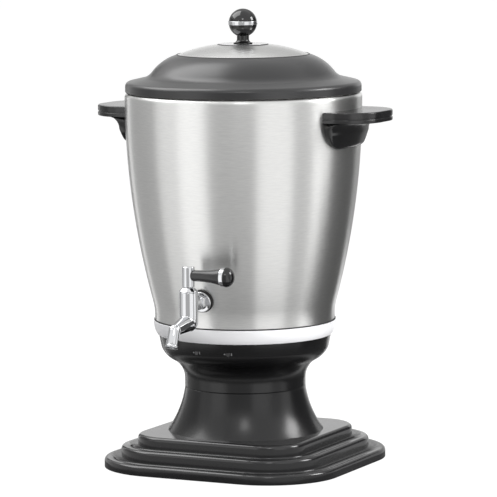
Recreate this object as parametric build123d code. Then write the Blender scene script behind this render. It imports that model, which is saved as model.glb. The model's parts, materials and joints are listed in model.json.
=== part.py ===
from build123d import *
from math import acos, asin, atan2, cos, degrees, radians, sin, sqrt
import os

# Electric samovar, millimetres. The origin is on the column axis at the table.
# +Z is up, the tap points along -Y, the handles along +X and -X, the mains inlet along +Y.

# Base: three square tiers with round corners, a cover below and a rubber ring under the cover
foot_ring_height = 2.0
foot_ring_inset = 24.5
foot_ring_corner_step = 20.0
foot_ring_width = 12.0
skirt_lift = 0.5
tier_half_side = 124.5
tier_corner = 72.0
tier_inset = 17.0
first_tier_height = 10.0
tier_rise = 11.5
tier_wall = 3.0
tier_round = 4.0
tier_cove = 3.0
cover_thickness = 2.5
cover_clearance = 0.4
cover_boss_radius = 5.0
cover_screw_radius = 1.6
cover_screw_head_radius = 3.6
cover_screw_head_height = 1.5
cover_screw_skin = 1.5

# Foot bell
bell_height = 44.5
bell_foot_radius = 78.5
bell_lean = 8.0
bell_wall = 3.0

# Bowl: neck, reverse curve, shoulder and a tapered side up to the trim ring
neck_radius = 60.9
neck_straight = 8.0
bowl_height = 53.2
bowl_waist_share = 0.5385
bowl_waist_height = 28.2
bowl_shoulder_inset = 2.6
bowl_shoulder_height = 40.3
bowl_top_radius = 86.9
bowl_wall = 3.0

# Tie rod on the axis, from under the top tier to the vessel bottom
rod_radius = 4.0
rod_clearance = 0.3
rod_tail = 3.0
rod_nut_flats = 13.0
rod_nut_height = 6.5
rod_washer_radius = 15.0
rod_washer_thickness = 2.0

# Trim ring
ring_height = 14.3
ring_shelf_height = 9.3
ring_top_step = 1.4
ring_bottom_step = 1.0
ring_shelf_thickness = 2.5
ring_shelf_width = 10.6
ring_round = 0.8
ring_clearance = 0.3

# Vessel
vessel_height = 234.5
vessel_foot_radius = 90.6
vessel_flare_share = 0.0669
vessel_foot_join = 24.5
vessel_mouth_radius = 119.0
vessel_sheet = 1.0
rim_round = 5.0
rim_ledge = 5.0
rim_hem = 6.0
rim_straight = 2.0
bottom_thickness = 1.5
bottom_clearance = 0.3

# Heater under the vessel bottom
heater_plate_inset = 10.0
heater_plate_thickness = 4.0
heater_plate_bore = 8.0
element_inset = 18.0
element_width = 7.0
element_depth = 5.5
element_round = 2.0
element_gap_angle = 44.0
element_pin_radius = 2.0
element_pin_length = 12.0
control_share = 0.5
control_radius = 11.0
control_height = 8.0
fuse_radius = 8.0
fuse_height = 6.0
control_tab_spread = 5.0
control_tab_radius = 1.5
control_tab_length = 4.0

# Lid
lid_gap = 0.2
lid_band_inset = 0.6
lid_band_straight = 5.6
lid_brow_inset = 3.7
lid_brow_rise = 4.8
lid_brim_inset = 17.4
lid_brim_slope = 13.0
lid_waist_inset = 27.2
lid_waist_rise = 6.5
lid_crown_inset = 52.0
lid_crown_rise = 16.8
lid_wall = 3.0
cap_clearance = 0.3
cap_sheet = 0.8
cap_recess = 1.0
cap_rise = 10.0
cap_flat_radius = 26.0
cap_shoulder_slope = 6.0
lid_post_radius = 8.0
liner_sheet = 0.8
liner_inset = 12.6
liner_flange_inset = 4.4
liner_depth = 10.5
seal_thickness = 1.5
seal_inner_inset = 9.0
seal_outer_inset = 5.5
spacer_radius = 6.0

# Knob
knob_disc_radius = 25.0
knob_disc_thickness = 0.8
stem_foot_radius = 9.5
stem_foot_height = 1.2
stem_radius = 6.1
stem_height = 8.0
knob_radius = 14.2
knob_ring_width = 3.8
knob_ring_proud = 0.4
knob_screw_radius = 2.5
knob_screw_clearance = 0.15
knob_screw_reach = 18.0
knob_screw_head_radius = 5.0
knob_screw_head_height = 3.5
knob_washer_radius = 9.0
knob_washer_thickness = 1.0

# Side handles
handle_reach = 36.4
handle_half_width = 47.4
handle_corner = 38.0
handle_drop = 15.2
handle_cover_height = 5.8
handle_shelf_height = 5.2
handle_round = 1.2
handle_groove_height = 1.0
handle_groove_depth = 0.8
handle_plate_drop = 26.3
handle_plate_top = 6.8
handle_plate_foot = 4.5
handle_plate_round = 4.0
handle_cove = 11.5
handle_sweep = 60.0
handle_plate_half_width = 47.4
handle_plate_corner = 28.0
handle_wall_clearance = 0.15
handle_bolt_angle = 9.0
handle_bolt_drop = 7.5
handle_bolt_radius = 2.4
handle_bolt_depth = 6.0
handle_bolt_head_radius = 4.5
handle_bolt_head_height = 3.0
handle_seal_radius = 6.0
handle_seal_thickness = 1.5
handle_seal_gap = 0.5
bolt_clearance = 0.15

# Tap
tap_rise = 29.5
barrel_reach = 29.9
barrel_radius = 9.3
barrel_top = 12.5
barrel_base = 17.5
tap_shank_radius = 6.5
tap_shank_bore = 4.0
tap_shank_inside = 17.0
tap_hole_clearance = 0.3
gasket_radius = 11.6
gasket_thickness = 2.0
flange_radius = 10.8
flange_thickness = 2.8
flange_round = 1.0
tap_hex_flats = 15.0
tap_hex_reach = 12.5
inner_gasket_depth = 9.0
lock_nut_flats = 22.0
lock_nut_length = 6.0
spout_reach = 30.5
spout_end_drop = 21.8
spout_start_radius = 9.0
spout_end_radius = 5.4
spout_bore = 3.5
nozzle_reach = 37.0
nozzle_drop = 38.0
nozzle_top_radius = 5.9
nozzle_outlet_radius = 6.4
bonnet_height = 4.2
bonnet_top_radius = 6.0
bonnet_skirt = 0.8
plug_radius = 6.0
plug_clearance = 0.05
plug_seat_rise = 4.5
plug_chamber_radius = 4.5
plug_port_radius = 3.0
plug_stem_radius = 3.0
plug_stem_clearance = 0.1
o_ring_section = 1.6
hub_gap = 0.8
hub_radius = 6.2
hub_height = 20.0
hub_chamfer = 0.8
hub_stem_depth = 11.0
lever_drop = 8.8
lever_rod_radius = 2.0
lever_rod_clearance = 0.1
lever_rod_root_gap = 0.4
grip_root_radius = 5.4
grip_waist_radius = 5.6
grip_flare_radius = 8.7
grip_root_gap = 0.2
grip_waist_reach = 14.0
grip_reach = 36.8
lever_ring_radius = 9.5
lever_ring_width = 4.4
lever_cap_radius = 9.7
lever_reach = 49.2
grub_radius = 1.5
grub_length = 2.0

# Rear panel on the bowl with the mains inlet and the rocker switch
panel_half_width = 33.0
panel_proud = 1.1
panel_height = 26.0
panel_drop = 3.7
panel_wall = 2.5
inlet_across = 15.0
inlet_flange_width = 30.0
inlet_flange_height = 22.0
inlet_flange_thickness = 2.0
inlet_body_width = 27.0
inlet_body_height = 18.5
inlet_body_depth = 20.0
inlet_recess_width = 24.0
inlet_recess_height = 16.0
inlet_recess_depth = 16.0
inlet_pin_pitch = 7.0
inlet_pin_step = 3.0
inlet_pin_width = 2.0
inlet_pin_height = 3.4
inlet_pin_reach = 13.0
inlet_pin_tail = 6.0
fit_clearance = 0.2
switch_across = -18.0
switch_flange_width = 21.0
switch_flange_height = 15.0
switch_body_width = 19.0
switch_body_height = 13.0
switch_body_depth = 16.0
switch_opening_width = 16.0
switch_opening_height = 10.0
switch_opening_depth = 11.0
switch_tab_width = 5.0
switch_tab_thickness = 0.8
switch_tab_length = 8.0
switch_tab_root = 2.0
switch_tab_pitch = 8.0
rocker_radius = 7.5
rocker_height = 9.2
rocker_pivot_depth = 1.0
rocker_front = 5.0
rocker_back = 4.0
rocker_tilt = 8.0
rocker_axle_radius = 1.2
rocker_axle_length = 1.2
rocker_axle_clearance = 0.05

# Indicator lenses on the bowl
lens_radius = 2.2
lens_drop = 10.2
lens_left_angle = -8.5
lens_right_angle = 14.5
lens_length = 5.0
lens_proud = 0.25
lens_clearance = 0.1
led_radius = 2.0
led_length = 4.0
led_gap = 0.2
board_half_width = 27.0
board_height = 10.0
board_thickness = 1.6

# Wires
wire_radius = 1.1
wire_bend = 3.0
wire_drop = 6.0

# How far a cutting tool runs past the face that it cuts
overcut = 1.0

# How near to a level an edge lies that counts as on it
edge_tolerance = 0.05

# Radii and reaches that follow a neighbour
foot_ring_half_side = tier_half_side - foot_ring_inset
foot_ring_corner = tier_corner - foot_ring_corner_step
bowl_shoulder_radius = bowl_top_radius - bowl_shoulder_inset
bowl_waist_radius = neck_radius + (bowl_shoulder_radius - neck_radius) * bowl_waist_share
ring_top_radius = vessel_foot_radius + ring_top_step
ring_bottom_radius = bowl_top_radius + ring_bottom_step
ring_shelf_bore = vessel_foot_radius - ring_shelf_width
heater_plate_radius = ring_shelf_bore - heater_plate_inset
element_ring_radius = heater_plate_radius - element_inset
control_offset = element_ring_radius * control_share
vessel_foot_flare = (vessel_mouth_radius - vessel_foot_radius) * vessel_flare_share
panel_reach = bowl_top_radius + panel_proud
lid_band_radius = vessel_mouth_radius - lid_band_inset
lid_brim_radius = lid_band_radius - lid_brim_inset
lid_waist_radius = lid_band_radius - lid_waist_inset
lid_crown_radius = lid_band_radius - lid_crown_inset
liner_radius = vessel_mouth_radius - liner_inset
liner_flange_radius = vessel_mouth_radius - liner_flange_inset
seal_inner_radius = vessel_mouth_radius - seal_inner_inset
seal_outer_radius = vessel_mouth_radius - seal_outer_inset
handle_tip = vessel_mouth_radius + handle_reach

# Levels, from the table up
cover_low = foot_ring_height
cover_high = cover_low + cover_thickness
tier_tops = [skirt_lift + first_tier_height + tier_rise * step for step in range(3)]
bell_low = tier_tops[2]
seam = bell_low + bell_height
bowl_high = seam + bowl_height
shelf = bowl_high + ring_shelf_height
ring_high = bowl_high + ring_height
floor_low = shelf + vessel_sheet
floor_high = floor_low + bottom_thickness
heater_low = floor_low - heater_plate_thickness
ledge = shelf + vessel_height
lid_low = ledge + lid_gap
tap_height = ring_high + tap_rise

# Vessel wall: one long arc, upright at the mouth, then a short reverse curve to the upright foot
rim_level = ledge - rim_round
mouth_level = rim_level - rim_straight
join_level = shelf + vessel_foot_join
join_radius = vessel_foot_radius + vessel_foot_flare
arc_width = vessel_mouth_radius - join_radius
arc_height = mouth_level - join_level
wall_arc = (arc_width ** 2 + arc_height ** 2) / (2 * arc_width)
wall_lean = degrees(acos(1 - arc_width / wall_arc))
foot_arc = vessel_foot_flare / (1 - cos(radians(wall_lean)))
foot_level = join_level - foot_arc * sin(radians(wall_lean))


def wall_radius(level):
    return vessel_mouth_radius - wall_arc + sqrt(wall_arc ** 2 - (mouth_level - level) ** 2)


def turned(face):
    return revolve(Plane.XZ * face, Axis.Z)


def outline_face(*points):
    return make_face(Polyline(*points, close=True))


def turned_outline(*points):
    return turned(outline_face(*points))


def sheet(edges, thickness):
    return make_face(Wire(edges).offset_2d(thickness, kind=Kind.INTERSECTION, side=Side.LEFT).edges())


def post(radius, low, high, x=0.0, y=0.0):
    return Pos(x, y, low) * Cylinder(radius, high - low, align=(Align.CENTER, Align.CENTER, Align.MIN))


def ring(outer, inner, low, high):
    return post(outer, low, high) - post(inner, low - overcut, high + overcut)


def bar(start, end, radius, end_radius=None):
    start = Vector(*start)
    run = Vector(*end) - start
    place = Plane(origin=start, z_dir=run).location
    align = (Align.CENTER, Align.CENTER, Align.MIN)
    if end_radius is None:
        return place * Cylinder(radius, run.length, align=align)
    return place * Cone(radius, end_radius, run.length, align=align)


def hexagon(flats, start, length, direction):
    outline = RegularPolygon(flats / 2, 6, major_radius=False)
    return extrude(Plane(origin=start, z_dir=direction) * outline, length)


def block(width, depth, height, centre):
    return Pos(*centre) * Box(width, depth, height)


def radial(angle, distance, level):
    return (distance * sin(radians(angle)), -distance * cos(radians(angle)), level)


def rounded_square(half_side, corner, low, high):
    return Pos(0, 0, low) * extrude(RectangleRounded(2 * half_side, 2 * half_side, corner), high - low)


def tangent_arc(start, end, tangent):
    return TangentArc(start, end, tangent=tangent)


# A shallow curve that leaves start along tangent and meets end at the mirrored slope

def gentle_curve(start, end, tangent):
    start = Vector(*start)
    end = Vector(*end)
    tangent = Vector(*tangent).normalized()
    chord = end - start
    half_turn = radians(chord.get_angle(tangent))
    return Bezier(start, start + tangent * (chord.length / 2 / cos(half_turn)), end)


# Base

def tier(step, inset, low, high):
    shift = tier_inset * step + inset
    return rounded_square(tier_half_side - shift, tier_corner - shift, low, high)


def make_base_tiers():
    body = None
    hollow = None
    for step, top in enumerate(tier_tops):
        low = skirt_lift if step == 0 else tier_tops[step - 1] - tier_wall
        slab = tier(step, 0, low, top)
        slab = fillet(slab.edges().group_by(Axis.Z)[-1], tier_round)
        room = tier(step, tier_wall, skirt_lift - overcut, top - tier_wall)
        body = slab if body is None else body + slab
        hollow = room if hollow is None else hollow + room
    for step in (0, 1):
        reach = tier_half_side - tier_inset * (step + 1)
        level = tier_tops[step]
        coves = [
            edge for edge in body.edges()
            if abs(edge.bounding_box().min.Z - level) < edge_tolerance
            and abs(edge.bounding_box().max.Z - level) < edge_tolerance
            and max(abs(edge.center().X), abs(edge.center().Y)) < reach + edge_tolerance
        ]
        body = fillet(coves, tier_cove)
    body = body - hollow
    for x, y in cover_screw_places():
        body = body + post(cover_boss_radius, cover_high, tier_tops[0] - tier_wall, x, y)
        body = body - post(cover_screw_radius + bolt_clearance, cover_high - overcut, cover_screw_tip(), x, y)
    return body - post(rod_radius + rod_clearance, tier_tops[2] - tier_wall - overcut, tier_tops[2] + overcut)


def cover_screw_places():
    middle = tier_half_side - tier_wall - tier_inset / 2
    return [(middle, 0), (-middle, 0), (0, middle), (0, -middle)]


def cover_screw_tip():
    return tier_tops[0] - cover_screw_skin


def make_base_cover():
    inset = tier_wall + cover_clearance
    plate = tier(0, inset, cover_low, cover_high)
    sink = cover_low + cover_screw_head_height
    for x, y in cover_screw_places():
        plate = plate - post(cover_screw_radius + bolt_clearance, cover_low, cover_high + overcut, x, y)
        plate = plate - post(cover_screw_head_radius + bolt_clearance, cover_low - overcut, sink, x, y)
    return plate


def make_cover_screws():
    screws = []
    sink = cover_low + cover_screw_head_height
    for x, y in cover_screw_places():
        head = post(cover_screw_head_radius, cover_low, sink, x, y)
        screws.append(head + post(cover_screw_radius, sink, cover_screw_tip() - bolt_clearance, x, y))
    return Compound(screws)


def make_foot_ring():
    inner_side = foot_ring_half_side - foot_ring_width
    inner_corner = foot_ring_corner - foot_ring_width
    outer = rounded_square(foot_ring_half_side, foot_ring_corner, 0, foot_ring_height)
    return outer - rounded_square(inner_side, inner_corner, -overcut, foot_ring_height + overcut)


# Column: bell, bowl, trim ring and tie rod

def make_foot_bell():
    start = (neck_radius, seam)
    lean = (sin(radians(bell_lean)), -cos(radians(bell_lean)))
    flare = tangent_arc(start, (bell_foot_radius, bell_low), lean)
    inner_start = (neck_radius - bell_wall, seam)
    inner = tangent_arc(inner_start, (bell_foot_radius - bell_wall, bell_low), lean)
    edges = [flare, Line(flare @ 1, inner @ 1), inner, Line(inner @ 0, flare @ 0)]
    return turned(make_face(edges))


def bowl_side_radius(level):
    share = (bowl_high - level) / (bowl_height - bowl_shoulder_height)
    return bowl_top_radius - (bowl_top_radius - bowl_shoulder_radius) * share


def bowl_outline(inset):
    waist = (bowl_waist_radius, seam + bowl_waist_height)
    shoulder = (bowl_shoulder_radius, seam + bowl_shoulder_height)
    lower = tangent_arc((neck_radius, seam + neck_straight), waist, (0, 1))
    upper = tangent_arc(waist, shoulder, lower % 1)
    if inset == 0:
        return lower, upper
    waist_in = Vector(*waist) + (lower % 1).rotate(Axis.Z, 90) * inset
    shoulder_in = Vector(*shoulder) + (upper % 1).rotate(Axis.Z, 90) * inset
    inner_lower = tangent_arc((neck_radius - inset, seam + neck_straight), waist_in, (0, 1))
    return inner_lower, tangent_arc(waist_in, shoulder_in, lower % 1)


def bowl_solid(inset):
    lower, upper = bowl_outline(inset)
    radius = neck_radius - inset
    edges = [
        Line((0, seam - inset), (radius, seam - inset)),
        Line((radius, seam - inset), lower @ 0),
        lower,
        upper,
        Line(upper @ 1, (bowl_top_radius - inset, bowl_high + inset)),
        Line((bowl_top_radius - inset, bowl_high + inset), (0, bowl_high + inset)),
        Line((0, bowl_high + inset), (0, seam - inset)),
    ]
    return turned(make_face(edges))


panel_high = bowl_high - panel_drop
panel_low = panel_high - panel_height
panel_middle = (panel_high + panel_low) / 2


def make_bowl():
    outside = bowl_solid(0)
    boss = block(
        2 * panel_half_width, panel_reach, panel_height, (0, panel_reach / 2, panel_middle)
    )
    boss = fillet(boss.edges().filter_by(Axis.Y), panel_wall)
    room_depth = panel_reach - panel_wall
    room = block(
        2 * (panel_half_width - panel_wall), room_depth, panel_height - 2 * panel_wall,
        (0, room_depth / 2, panel_middle)
    )
    body = outside + boss - bowl_solid(bowl_wall) - room
    body = body - inlet_body(fit_clearance) - switch_body(fit_clearance)
    for angle in (lens_left_angle, lens_right_angle):
        body = body - lens(angle, lens_clearance, bowl_top_radius)
    return body


def make_trim_ring():
    lip = vessel_foot_radius + ring_clearance
    inner = bowl_top_radius - bowl_wall
    crown = (ring_top_radius, ring_high - ring_round)
    side = ThreePointArc(
        (ring_bottom_radius, bowl_high),
        ((ring_bottom_radius + ring_top_radius) / 2 + ring_round, (bowl_high + shelf) / 2 + ring_round),
        crown
    )
    roll = tangent_arc(crown, (ring_top_radius - ring_round, ring_high), (0, 1))
    edges = [
        side,
        roll,
        Line(roll @ 1, (lip, ring_high)),
        Line((lip, ring_high), (lip, shelf)),
        Line((lip, shelf), (ring_shelf_bore, shelf)),
        Line((ring_shelf_bore, shelf), (ring_shelf_bore, shelf - ring_shelf_thickness)),
        Line((ring_shelf_bore, shelf - ring_shelf_thickness), (inner, shelf - ring_shelf_thickness)),
        Line((inner, shelf - ring_shelf_thickness), (inner, bowl_high)),
        Line((inner, bowl_high), side @ 0),
    ]
    return turned(make_face(edges))


rod_seat = tier_tops[2] - tier_wall
rod_washer_low = rod_seat - rod_washer_thickness
rod_nut_low = rod_washer_low - rod_nut_height


def make_tie_rod():
    return post(rod_radius, rod_nut_low - rod_tail, floor_low)


def make_tie_washer():
    return ring(rod_washer_radius, rod_radius + rod_clearance, rod_washer_low, rod_seat)


def make_tie_nut():
    nut = hexagon(rod_nut_flats, (0, 0, rod_nut_low), rod_nut_height, (0, 0, 1))
    return nut - post(rod_radius + fit_clearance, rod_nut_low - overcut, rod_washer_low + overcut)


# Vessel

def vessel_path(inset):
    lean = radians(wall_lean)
    slope = (sin(lean), cos(lean))
    foot = (vessel_foot_radius - inset, foot_level)
    join = (join_radius - inset * slope[1], join_level + inset * slope[0])
    mouth = (vessel_mouth_radius - inset, mouth_level)
    return [
        Line((vessel_foot_radius - inset, shelf), foot),
        tangent_arc(foot, join, (0, 1)),
        gentle_curve(join, mouth, slope),
        Line(mouth, (vessel_mouth_radius - inset, rim_level)),
    ]


def rim_path(inset):
    shoulder = (vessel_mouth_radius - inset, rim_level)
    crest = (vessel_mouth_radius - rim_round, ledge - inset)
    hem = vessel_mouth_radius - rim_round - rim_ledge + inset
    return [
        tangent_arc(shoulder, crest, (0, 1)),
        Line(crest, (hem, ledge - inset)),
        Line((hem, ledge - inset), (hem, ledge - rim_hem)),
    ]


def sheet_between(outer, inner):
    ends = [Line(outer[0] @ 0, inner[0] @ 0), Line(outer[-1] @ 1, inner[-1] @ 1)]
    return turned(make_face(outer + inner + ends))


def vessel_blank(grow):
    side = [edge.moved(Location((grow, 0, 0))) for edge in vessel_path(0)]
    bottom = side[0] @ 0
    top = side[-1] @ 1
    outline = side + [
        Line(top, (0, top.Y)),
        Line((0, top.Y), (0, bottom.Y)),
        Line((0, bottom.Y), bottom),
    ]
    return turned(make_face(outline))


def make_vessel_wall():
    wall = sheet_between(vessel_path(0), vessel_path(vessel_sheet))
    hole = tap_shank_radius + tap_hole_clearance
    wall = wall - bar((0, -vessel_foot_radius / 2, tap_height), (0, -barrel_offset, tap_height), hole)
    for angle in handle_bolt_angles():
        wall = wall - bolt_bar(angle, handle_bolt_radius + bolt_clearance, 0, 2 * handle_bolt_depth)
    return wall


def make_vessel_rim():
    return sheet_between(rim_path(0), rim_path(vessel_sheet))


def make_vessel_bottom():
    radius = vessel_foot_radius - vessel_sheet - bottom_clearance
    return post(radius, floor_low, floor_high) + ring(radius, ring_shelf_bore, shelf, floor_low)


# Heater

def make_heater_plate():
    return ring(heater_plate_radius, heater_plate_bore, heater_low, floor_low)


def make_heating_element():
    section = Rectangle(element_width, element_depth)
    section = Pos(element_ring_radius, heater_low - element_depth / 2) * section
    section = fillet(section.vertices().group_by(Axis.Y)[0], element_round)
    loop = revolve(Plane.XZ * section, Axis.Z, 360 - element_gap_angle)
    loop = Rot(0, 0, 90 + element_gap_angle / 2) * loop
    for side in (1, -1):
        x, y, low = element_pin_place(side)
        loop = loop + post(element_pin_radius, low, heater_low - element_depth / 2, x, y)
    return loop


def element_pin_place(side):
    inward = atan2(element_width / 2, element_ring_radius)
    turn = (radians(element_gap_angle / 2) + inward) * side
    level = heater_low - element_depth - element_pin_length
    return (element_ring_radius * sin(turn), element_ring_radius * cos(turn), level)


def make_control(side, radius, height):
    x = control_offset * side
    low = heater_low - height
    body = post(radius, low, heater_low, x)
    for turn in (1, -1):
        body = body + post(control_tab_radius, low - control_tab_length, low, x, control_tab_spread * turn)
    return body


# Lid

lid_band_top = lid_low + lid_band_straight
lid_brow = (lid_band_radius - lid_brow_inset, lid_band_top + lid_brow_rise)
brim_rise = (lid_brow[0] - lid_brim_radius) * sin(radians(lid_brim_slope)) / cos(radians(lid_brim_slope))
lid_brim = (lid_brim_radius, lid_brow[1] + brim_rise)
lid_waist = (lid_waist_radius, lid_brim[1] + lid_waist_rise)
lid_crown = (lid_crown_radius, lid_waist[1] + lid_crown_rise)
cap_seat = lid_crown[1] - cap_recess
plate_low = cap_seat - lid_wall
cap_top = cap_seat + cap_sheet + cap_rise
disc_top = cap_top + knob_disc_thickness
stem_top = disc_top + stem_height
knob_centre = stem_top + sqrt(knob_radius ** 2 - stem_radius ** 2)
liner_high = ledge + seal_thickness
liner_low = liner_high - liner_depth
screw_hole = knob_screw_radius + knob_screw_clearance


def make_lid_shell():
    slope = (-cos(radians(lid_brim_slope)), sin(radians(lid_brim_slope)))
    brow = tangent_arc((lid_band_radius, lid_band_top), lid_brow, (0, 1))
    hollow_curve = tangent_arc(lid_brim, lid_waist, slope)
    crown = tangent_arc(lid_waist, lid_crown, hollow_curve % 1)
    path = [
        Line((lid_band_radius, lid_low), (lid_band_radius, lid_band_top)),
        brow,
        Line(lid_brow, lid_brim),
        hollow_curve,
        crown,
    ]
    recess = outline_face(
        (0, cap_seat),
        (lid_crown_radius, cap_seat),
        (lid_crown_radius, cap_top),
        (0, cap_top),
    )
    plate = outline_face(
        (screw_hole, plate_low),
        (lid_crown_radius, plate_low),
        (lid_crown_radius, cap_seat),
        (lid_post_radius, cap_seat),
        (lid_post_radius, cap_top - cap_sheet),
        (screw_hole, cap_top - cap_sheet),
    )
    return turned(sheet(path, lid_wall) - recess + plate)


def make_lid_cap():
    edge_radius = lid_crown_radius - cap_clearance
    slope = (cos(radians(cap_shoulder_slope)), -sin(radians(cap_shoulder_slope)))
    dome = gentle_curve((cap_flat_radius, cap_top), (edge_radius, cap_seat + cap_sheet), slope)
    under = gentle_curve((cap_flat_radius, cap_top - cap_sheet), (edge_radius, cap_seat), slope)
    edges = [
        Line((screw_hole, cap_top), dome @ 0),
        dome,
        Line(dome @ 1, under @ 1),
        under,
        Line(under @ 0, (screw_hole, cap_top - cap_sheet)),
        Line((screw_hole, cap_top - cap_sheet), (screw_hole, cap_top)),
    ]
    return turned(make_face(edges))


def make_knob_disc():
    return ring(knob_disc_radius, screw_hole, cap_top, disc_top)


def make_knob_stem():
    foot_top = disc_top + stem_foot_height
    neck = foot_top + (stem_foot_radius - stem_radius)
    edges = [
        Line((screw_hole, disc_top), (stem_foot_radius, disc_top)),
        Line((stem_foot_radius, disc_top), (stem_foot_radius, foot_top)),
        tangent_arc((stem_foot_radius, foot_top), (stem_radius, neck), (-1, 0)),
        Line((stem_radius, neck), (stem_radius, stem_top)),
        Line((stem_radius, stem_top), (screw_hole, stem_top)),
        Line((screw_hole, stem_top), (screw_hole, disc_top)),
    ]
    return turned(make_face(edges))


knob_ring_low = knob_centre - knob_ring_width / 2
knob_ring_high = knob_centre + knob_ring_width / 2
screw_tip = stem_top + knob_screw_reach


def knob_ball_slice(low, high):
    ball = Pos(0, 0, knob_centre) * Sphere(knob_radius)
    hole = post(screw_hole, low - overcut, screw_tip + knob_screw_clearance)
    return (ball & post(2 * knob_radius, low, high)) - hole


def make_knob_ring():
    return ring(knob_radius + knob_ring_proud, screw_hole, knob_ring_low, knob_ring_high)


screw_washer_low = liner_low - knob_washer_thickness
screw_head_low = screw_washer_low - knob_screw_head_height


def make_knob_screw():
    return post(knob_screw_head_radius, screw_head_low, screw_washer_low) + post(
        knob_screw_radius, screw_washer_low, screw_tip
    )


def make_knob_washer():
    return ring(knob_washer_radius, screw_hole, screw_washer_low, liner_low)


def make_lid_liner():
    path = [
        Line((screw_hole, liner_low), (liner_radius, liner_low)),
        Line((liner_radius, liner_low), (liner_radius, liner_high)),
        Line((liner_radius, liner_high), (liner_flange_radius, liner_high)),
    ]
    return turned(sheet(path, liner_sheet))


def make_lid_seal():
    return ring(seal_outer_radius, seal_inner_radius, ledge, liner_high)


def make_lid_spacer():
    return ring(spacer_radius, screw_hole, liner_low + liner_sheet, plate_low)


# Handles, made on the +X side and mirrored

handle_top = ledge - handle_drop
handle_parting = handle_top - handle_cover_height
handle_shelf = handle_parting - handle_shelf_height
handle_bolt_level = handle_shelf - handle_bolt_drop


def handle_plan(inset, low, high):
    half = handle_half_width - inset
    tip = handle_tip - inset
    corner = handle_corner - inset
    bend = tip - corner
    root = vessel_foot_radius
    edges = [
        Line((root, -half), (bend, -half)),
        tangent_arc((bend, -half), (tip, corner - half), (1, 0)),
        Line((tip, corner - half), (tip, half - corner)),
        tangent_arc((tip, half - corner), (bend, half), (0, 1)),
        Line((bend, half), (root, half)),
        Line((root, half), (root, -half)),
    ]
    return Pos(0, 0, low) * extrude(make_face(edges), high - low)


def handle_bolt_angles():
    front = [90 - handle_bolt_angle, 90 + handle_bolt_angle]
    return front + [-angle for angle in front]


def bolt_bar(angle, radius, inner, outer):
    face = wall_radius(handle_bolt_level) - vessel_sheet
    head = face - handle_seal_gap - handle_seal_thickness - handle_bolt_head_height
    start = radial(angle, head + inner, handle_bolt_level)
    return bar(start, radial(angle, face + outer, handle_bolt_level), radius)


def make_handle_cover():
    cover = handle_plan(0, handle_parting, handle_top)
    cover = fillet(cover.edges().group_by(Axis.Z)[-1], handle_round)
    return cover - vessel_blank(handle_wall_clearance)


def make_handle_bracket():
    rabbet = handle_parting - handle_groove_height
    low = handle_shelf - handle_plate_drop
    plate_top = (wall_radius(handle_shelf) + handle_plate_top, handle_shelf - handle_cove)
    plate_low = (wall_radius(low) + handle_plate_foot, low + handle_plate_round)
    toe = (wall_radius(low), low)
    cove = tangent_arc((plate_top[0] + handle_cove, handle_shelf), plate_top, (-1, 0))
    plate_side = Line(plate_top, plate_low)
    edges = [
        cove,
        plate_side,
        tangent_arc(plate_low, toe, plate_side % 1),
        Line(toe, (vessel_foot_radius, low)),
        Line((vessel_foot_radius, low), (vessel_foot_radius, handle_shelf)),
        Line((vessel_foot_radius, handle_shelf), cove @ 0),
    ]
    corbel = revolve(Plane.XZ * make_face(edges), Axis.Z, handle_sweep)
    corbel = Rot(0, 0, -handle_sweep / 2) * corbel
    plate = Rectangle(2 * handle_plate_half_width, 2 * handle_plate_drop)
    corner = min(handle_plate_corner, handle_plate_drop - handle_plate_round)
    plate = fillet(plate.vertices().group_by(Axis.Y)[0], corner)
    window = extrude(Plane.YZ * plate, handle_tip)
    corbel = corbel & Pos(0, 0, handle_shelf) * window
    corbel = corbel & handle_plan(0, low - overcut, handle_shelf)
    board = handle_plan(0, handle_shelf, rabbet)
    board = fillet(board.edges().group_by(Axis.Z)[0], handle_round)
    board = board + handle_plan(handle_groove_depth, rabbet, handle_parting)
    bracket = board + corbel - vessel_blank(handle_wall_clearance)
    hole = handle_bolt_radius + bolt_clearance
    for angle in handle_bolt_angles()[:2]:
        bracket = bracket - bolt_bar(angle, hole, 0, handle_bolt_depth + bolt_clearance)
    return bracket


def make_handle_bolts():
    bolts = []
    for angle in handle_bolt_angles():
        seat = -(handle_seal_thickness + handle_seal_gap)
        head = bolt_bar(angle, handle_bolt_head_radius, 0, seat)
        shank = bolt_bar(angle, handle_bolt_radius, handle_bolt_head_height / 2, handle_bolt_depth)
        bolts.append(head + shank)
    return Compound(bolts)


def make_handle_seals():
    seals = []
    for angle in handle_bolt_angles():
        washer = bolt_bar(angle, handle_seal_radius, handle_bolt_head_height, -handle_seal_gap)
        seals.append(washer - bolt_bar(angle, handle_bolt_radius + bolt_clearance, 0, handle_bolt_depth))
    return Compound(seals)


# Tap

tap_wall = wall_radius(tap_height)
barrel_offset = tap_wall + barrel_reach
spout_end_offset = barrel_offset + spout_reach
nozzle_offset = barrel_offset + nozzle_reach
barrel_high = tap_height + barrel_top
barrel_low = tap_height - barrel_base
bonnet_high = barrel_high + bonnet_height
hub_low = bonnet_high + hub_gap
hub_high = hub_low + hub_height
lever_level = hub_high - lever_drop
tap_lean = asin((mouth_level - tap_height) / wall_arc)
flange_face = gasket_thickness + flange_thickness
spout_end = (0, -spout_end_offset, tap_height - spout_end_drop)
nozzle_end = (0, -nozzle_offset, tap_height - nozzle_drop)
barrel_foot = (0, -barrel_offset, barrel_low)
shank_end = tap_wall - tap_shank_inside
plug_low = barrel_low + plug_seat_rise
rod_root = plug_stem_radius + lever_rod_root_gap
lever_hole = lever_rod_radius + lever_rod_clearance


def tap_bar(radius, inner, outer):
    return bar((0, -inner, tap_height), (0, -outer, tap_height), radius)


# A disc square to the leaning wall where the tap comes out of it

def wall_disc(radius, inner, outer):
    foot = Vector(0, -tap_wall, tap_height)
    normal = Vector(0, -cos(tap_lean), -sin(tap_lean))
    return bar(foot + normal * inner, foot + normal * outer, radius)


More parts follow.
